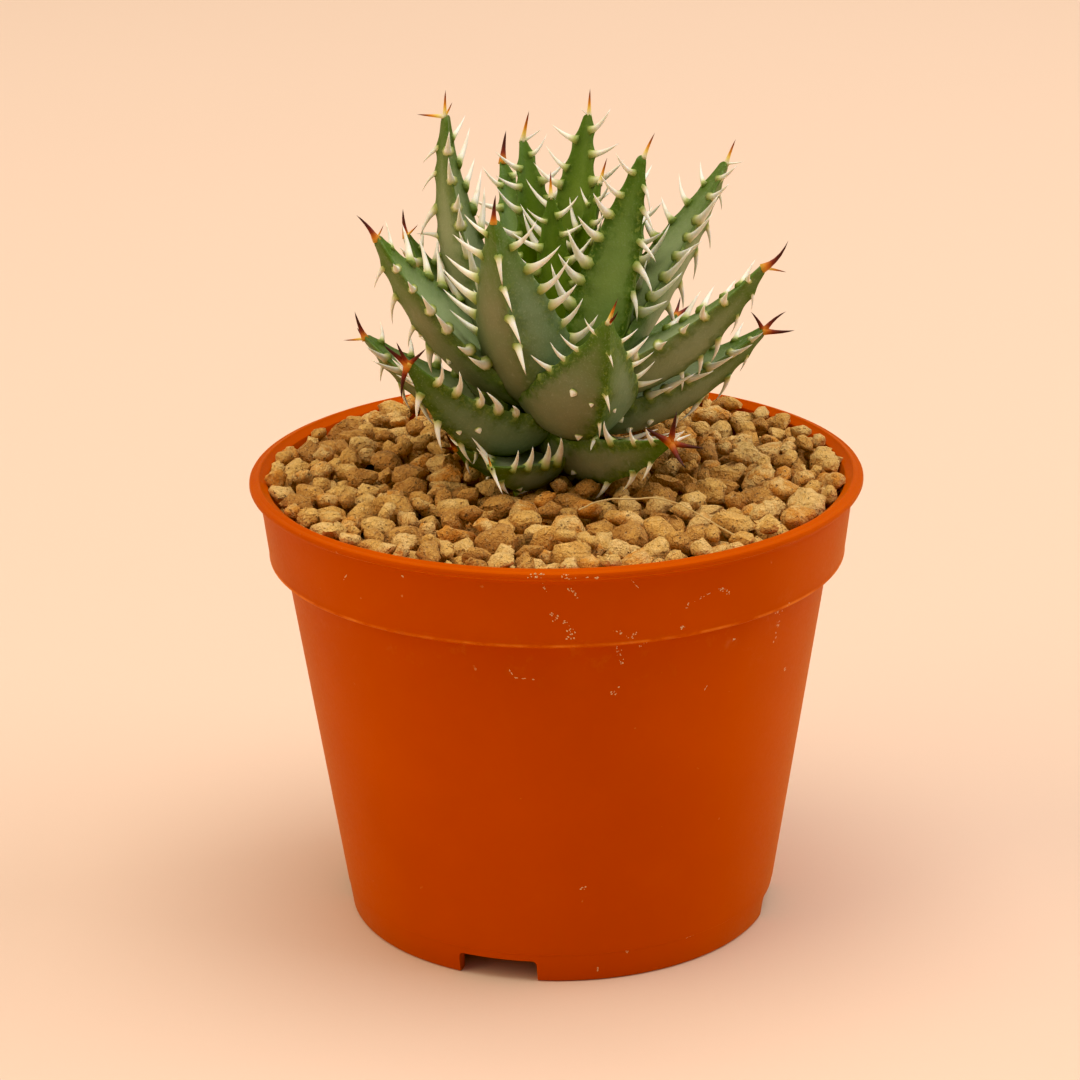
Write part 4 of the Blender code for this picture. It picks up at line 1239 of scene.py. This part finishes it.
stone = Finish("tan_grit")
tone = stone.own("tone")
dapple = stone.noise(480.0, 4.0, 0.65)
dust = stone.noise(1900.0, 3.0, 0.6)
tan = stone.steps(
    stone.combine("ADD", tone, stone.spread(dapple, 0.3, 0.7, -0.22, 0.22)),
    (
        (0.0, (0.48, 0.22, 0.045)),
        (0.25, (0.66, 0.33, 0.075)),
        (0.50, (0.76, 0.43, 0.120)),
        (0.75, (0.82, 0.51, 0.185)),
        (1.0, (0.68, 0.28, 0.042)),
    ),
)
holes = stone.spread(stone.cells(1200.0), 0.12, 0.30, 1.0, 0.0)
holes = stone.times(holes, stone.spread(dust, 0.48, 0.60))
tan = stone.blend(stone.spread(dust, 0.56, 0.74, 0.0, 0.5), tan, (0.76, 0.50, 0.23))
tan = stone.blend(stone.times(holes, 0.85), tan, (0.14, 0.068, 0.020))
# Painted shade: where the tone is below zero, as on the bed, the grit is painted near black for the
# shade deep in the gaps.
gap_shade = stone.spread(tone, -0.6, -0.2, 1.0, 0.0)
stone.set("Base Color", stone.blend(gap_shade, tan, (0.05, 0.028, 0.012)))
stone.set("Roughness", 0.93)
pitted = stone.raised(stone.spread(dust, 0.25, 0.75), 0.0004, 0.9)
pitted = stone.raised(holes, -0.0005, 1.0, pitted)
stone.set("Normal", stone.raised(dapple, 0.0014, 0.9, pitted))
gravel.data.materials.clear()
gravel.data.materials.append(stone.material)

# One dry stalk of grass has blown onto the grit at the front.
STALK = (
    (3.0, -22.0), (5.4, -19.5), (8.4, -17.6), (11.2, -17.4), (13.7, -18.2), (17.5, -21.9),
    (21.6, -29.0), (24.4, -34.2),
)
STALK_RADIUS = 0.13
STALK_LIFT = 0.35
steps = np.linspace(0.0, len(STALK) - 1.0, 29)
stalk_x = np.interp(steps, range(len(STALK)), [spot[0] for spot in STALK])
stalk_y = np.interp(steps, range(len(STALK)), [spot[1] for spot in STALK])
rests = []
for x, y in zip(stalk_x, stalk_y):
    column, line = int((x + REACH) / CELL), int((y + REACH) / CELL)
    rests.append(float(levels[column - 1:column + 3, line - 1:line + 3].max()) + STALK_LIFT)
rests = [max(rests[max(0, spot - 3):spot + 4]) for spot in range(len(rests))]
rests = [float(np.mean(rests[max(0, spot - 2):spot + 3])) for spot in range(len(rests))]
way = [Vector((x, y, z)) * MM for x, y, z in zip(stalk_x, stalk_y, rests)]
stalk = begin(
    "dry_stalk",
    bpy.ops.mesh.primitive_circle_add,
    vertices=6,
    radius=STALK_RADIUS * MM,
    fill_type="NGON",
    location=way[0],
    rotation=(0.0, math.pi / 2.0, 0.0),
)
for last, spot in zip(way, way[1:]):
    bpy.ops.mesh.extrude_region_move(TRANSFORM_OT_translate={"value": spot - last})
face_out()
settle(stalk, 60.0)
straw = Finish("dry_straw")
straw.set("Base Color", straw.blend(straw.noise(400.0), (0.62, 0.38, 0.13), (0.80, 0.58, 0.28)))
straw.set("Roughness", 0.6)
stalk.data.materials.append(straw.material)
only(gravel, stalk)
bpy.ops.object.join()
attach(gravel, "root")
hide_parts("gravel")
for pattern in patterns:
    discard(pattern)


# Where it stands, light and camera. A sheet of pale peach paper, large soft lights on both
# sides and from above, and the viewpoint of the picture.
bpy.ops.object.select_all(action="DESELECT")
bpy.ops.mesh.primitive_plane_add(size=8.0, location=(0.0, 0.0, 0.0))
floor = bpy.context.object
floor.name = "paper_floor"
paper = Finish("peach_paper")
fibre = paper.noise(900.0, 3.0, 0.6)
drift = paper.noise(2.2, 2.0, 0.5)
paper.set("Base Color", paper.blend(drift, (0.79, 0.56, 0.405), (0.82, 0.59, 0.435)))
paper.set("Roughness", 0.92)
paper.set("Specular IOR Level", 0.2)
paper.set("Normal", paper.raised(fibre, 0.00008, 0.25))
floor.data.materials.append(paper.material)
floor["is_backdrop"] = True

LIGHTS = (
    ("key_left", (-1.8, -0.5, 1.3), (2.2, 2.0), 22.0, (1.0, 0.84, 0.56)),
    ("fill_right", (1.9, 0.0, 1.5), (2.2, 2.0), 26.5, (0.98, 0.98, 1.0)),
    ("top_soft", (0.05, 0.0, 1.9), (1.8, 1.6), 26.0, (1.0, 0.96, 0.92)),
)
for name, place, size, power, tint in LIGHTS:
    bpy.ops.object.light_add(type="AREA", location=place)
    lamp = bpy.context.object
    lamp.name = name
    lamp.data.shape = "RECTANGLE"
    lamp.data.size, lamp.data.size_y = size
    lamp.data.energy = power
    lamp.data.color = tint
    aim = Vector((0.0, 0.0, 0.06)) - Vector(place)
    lamp.rotation_euler = aim.to_track_quat("-Z", "Y").to_euler()
sky = bpy.data.worlds.new("studio_air")
sky.use_nodes = True
sky.node_tree.nodes["Background"].inputs["Color"].default_value = (1.0, 0.95, 0.90, 1.0)
sky.node_tree.nodes["Background"].inputs["Strength"].default_value = 0.36
bpy.context.scene.world = sky
bpy.context.scene.view_settings.view_transform = "Standard"
bpy.context.scene.view_settings.use_curve_mapping = True
tone_curve = bpy.context.scene.view_settings.curve_mapping
tone_curve.black_level = (0.002, 0.002, 0.004)
tone_curve.curves[3].points.new(0.06, 0.050)
tone_curve.curves[3].points.new(0.32, 0.32)
tone_curve.update()

# The viewpoint: its place in metres, how far it looks down and leans in degrees, and the
# focal length and width of the picture in pixels.
VIEWPOINT = (-0.0025, -0.520, 0.2402)
LOOK_DOWN = 19.43
LEAN = -0.75
FOCAL_PIXELS = 3730.0
PICTURE_PIXELS = 1080.0
bpy.ops.object.camera_add()
camera = bpy.context.object
camera.name = "picture_camera"
camera.data.sensor_width = 36.0
camera.data.lens = camera.data.sensor_width * FOCAL_PIXELS / PICTURE_PIXELS
camera.data.clip_start = 0.01
down, roll = math.radians(LOOK_DOWN), math.radians(LEAN)
look = Vector((0.0, math.cos(down), -math.sin(down)))
level = Vector((1.0, 0.0, 0.0))
rise = level.cross(look)
right = level * math.cos(roll) + rise * math.sin(roll)
top = rise * math.cos(roll) - level * math.sin(roll)
turn = Matrix((right, top, -look)).transposed().to_4x4()
camera.matrix_world = Matrix.Translation(VIEWPOINT) @ turn
bpy.context.scene.camera = camera

low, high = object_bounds()
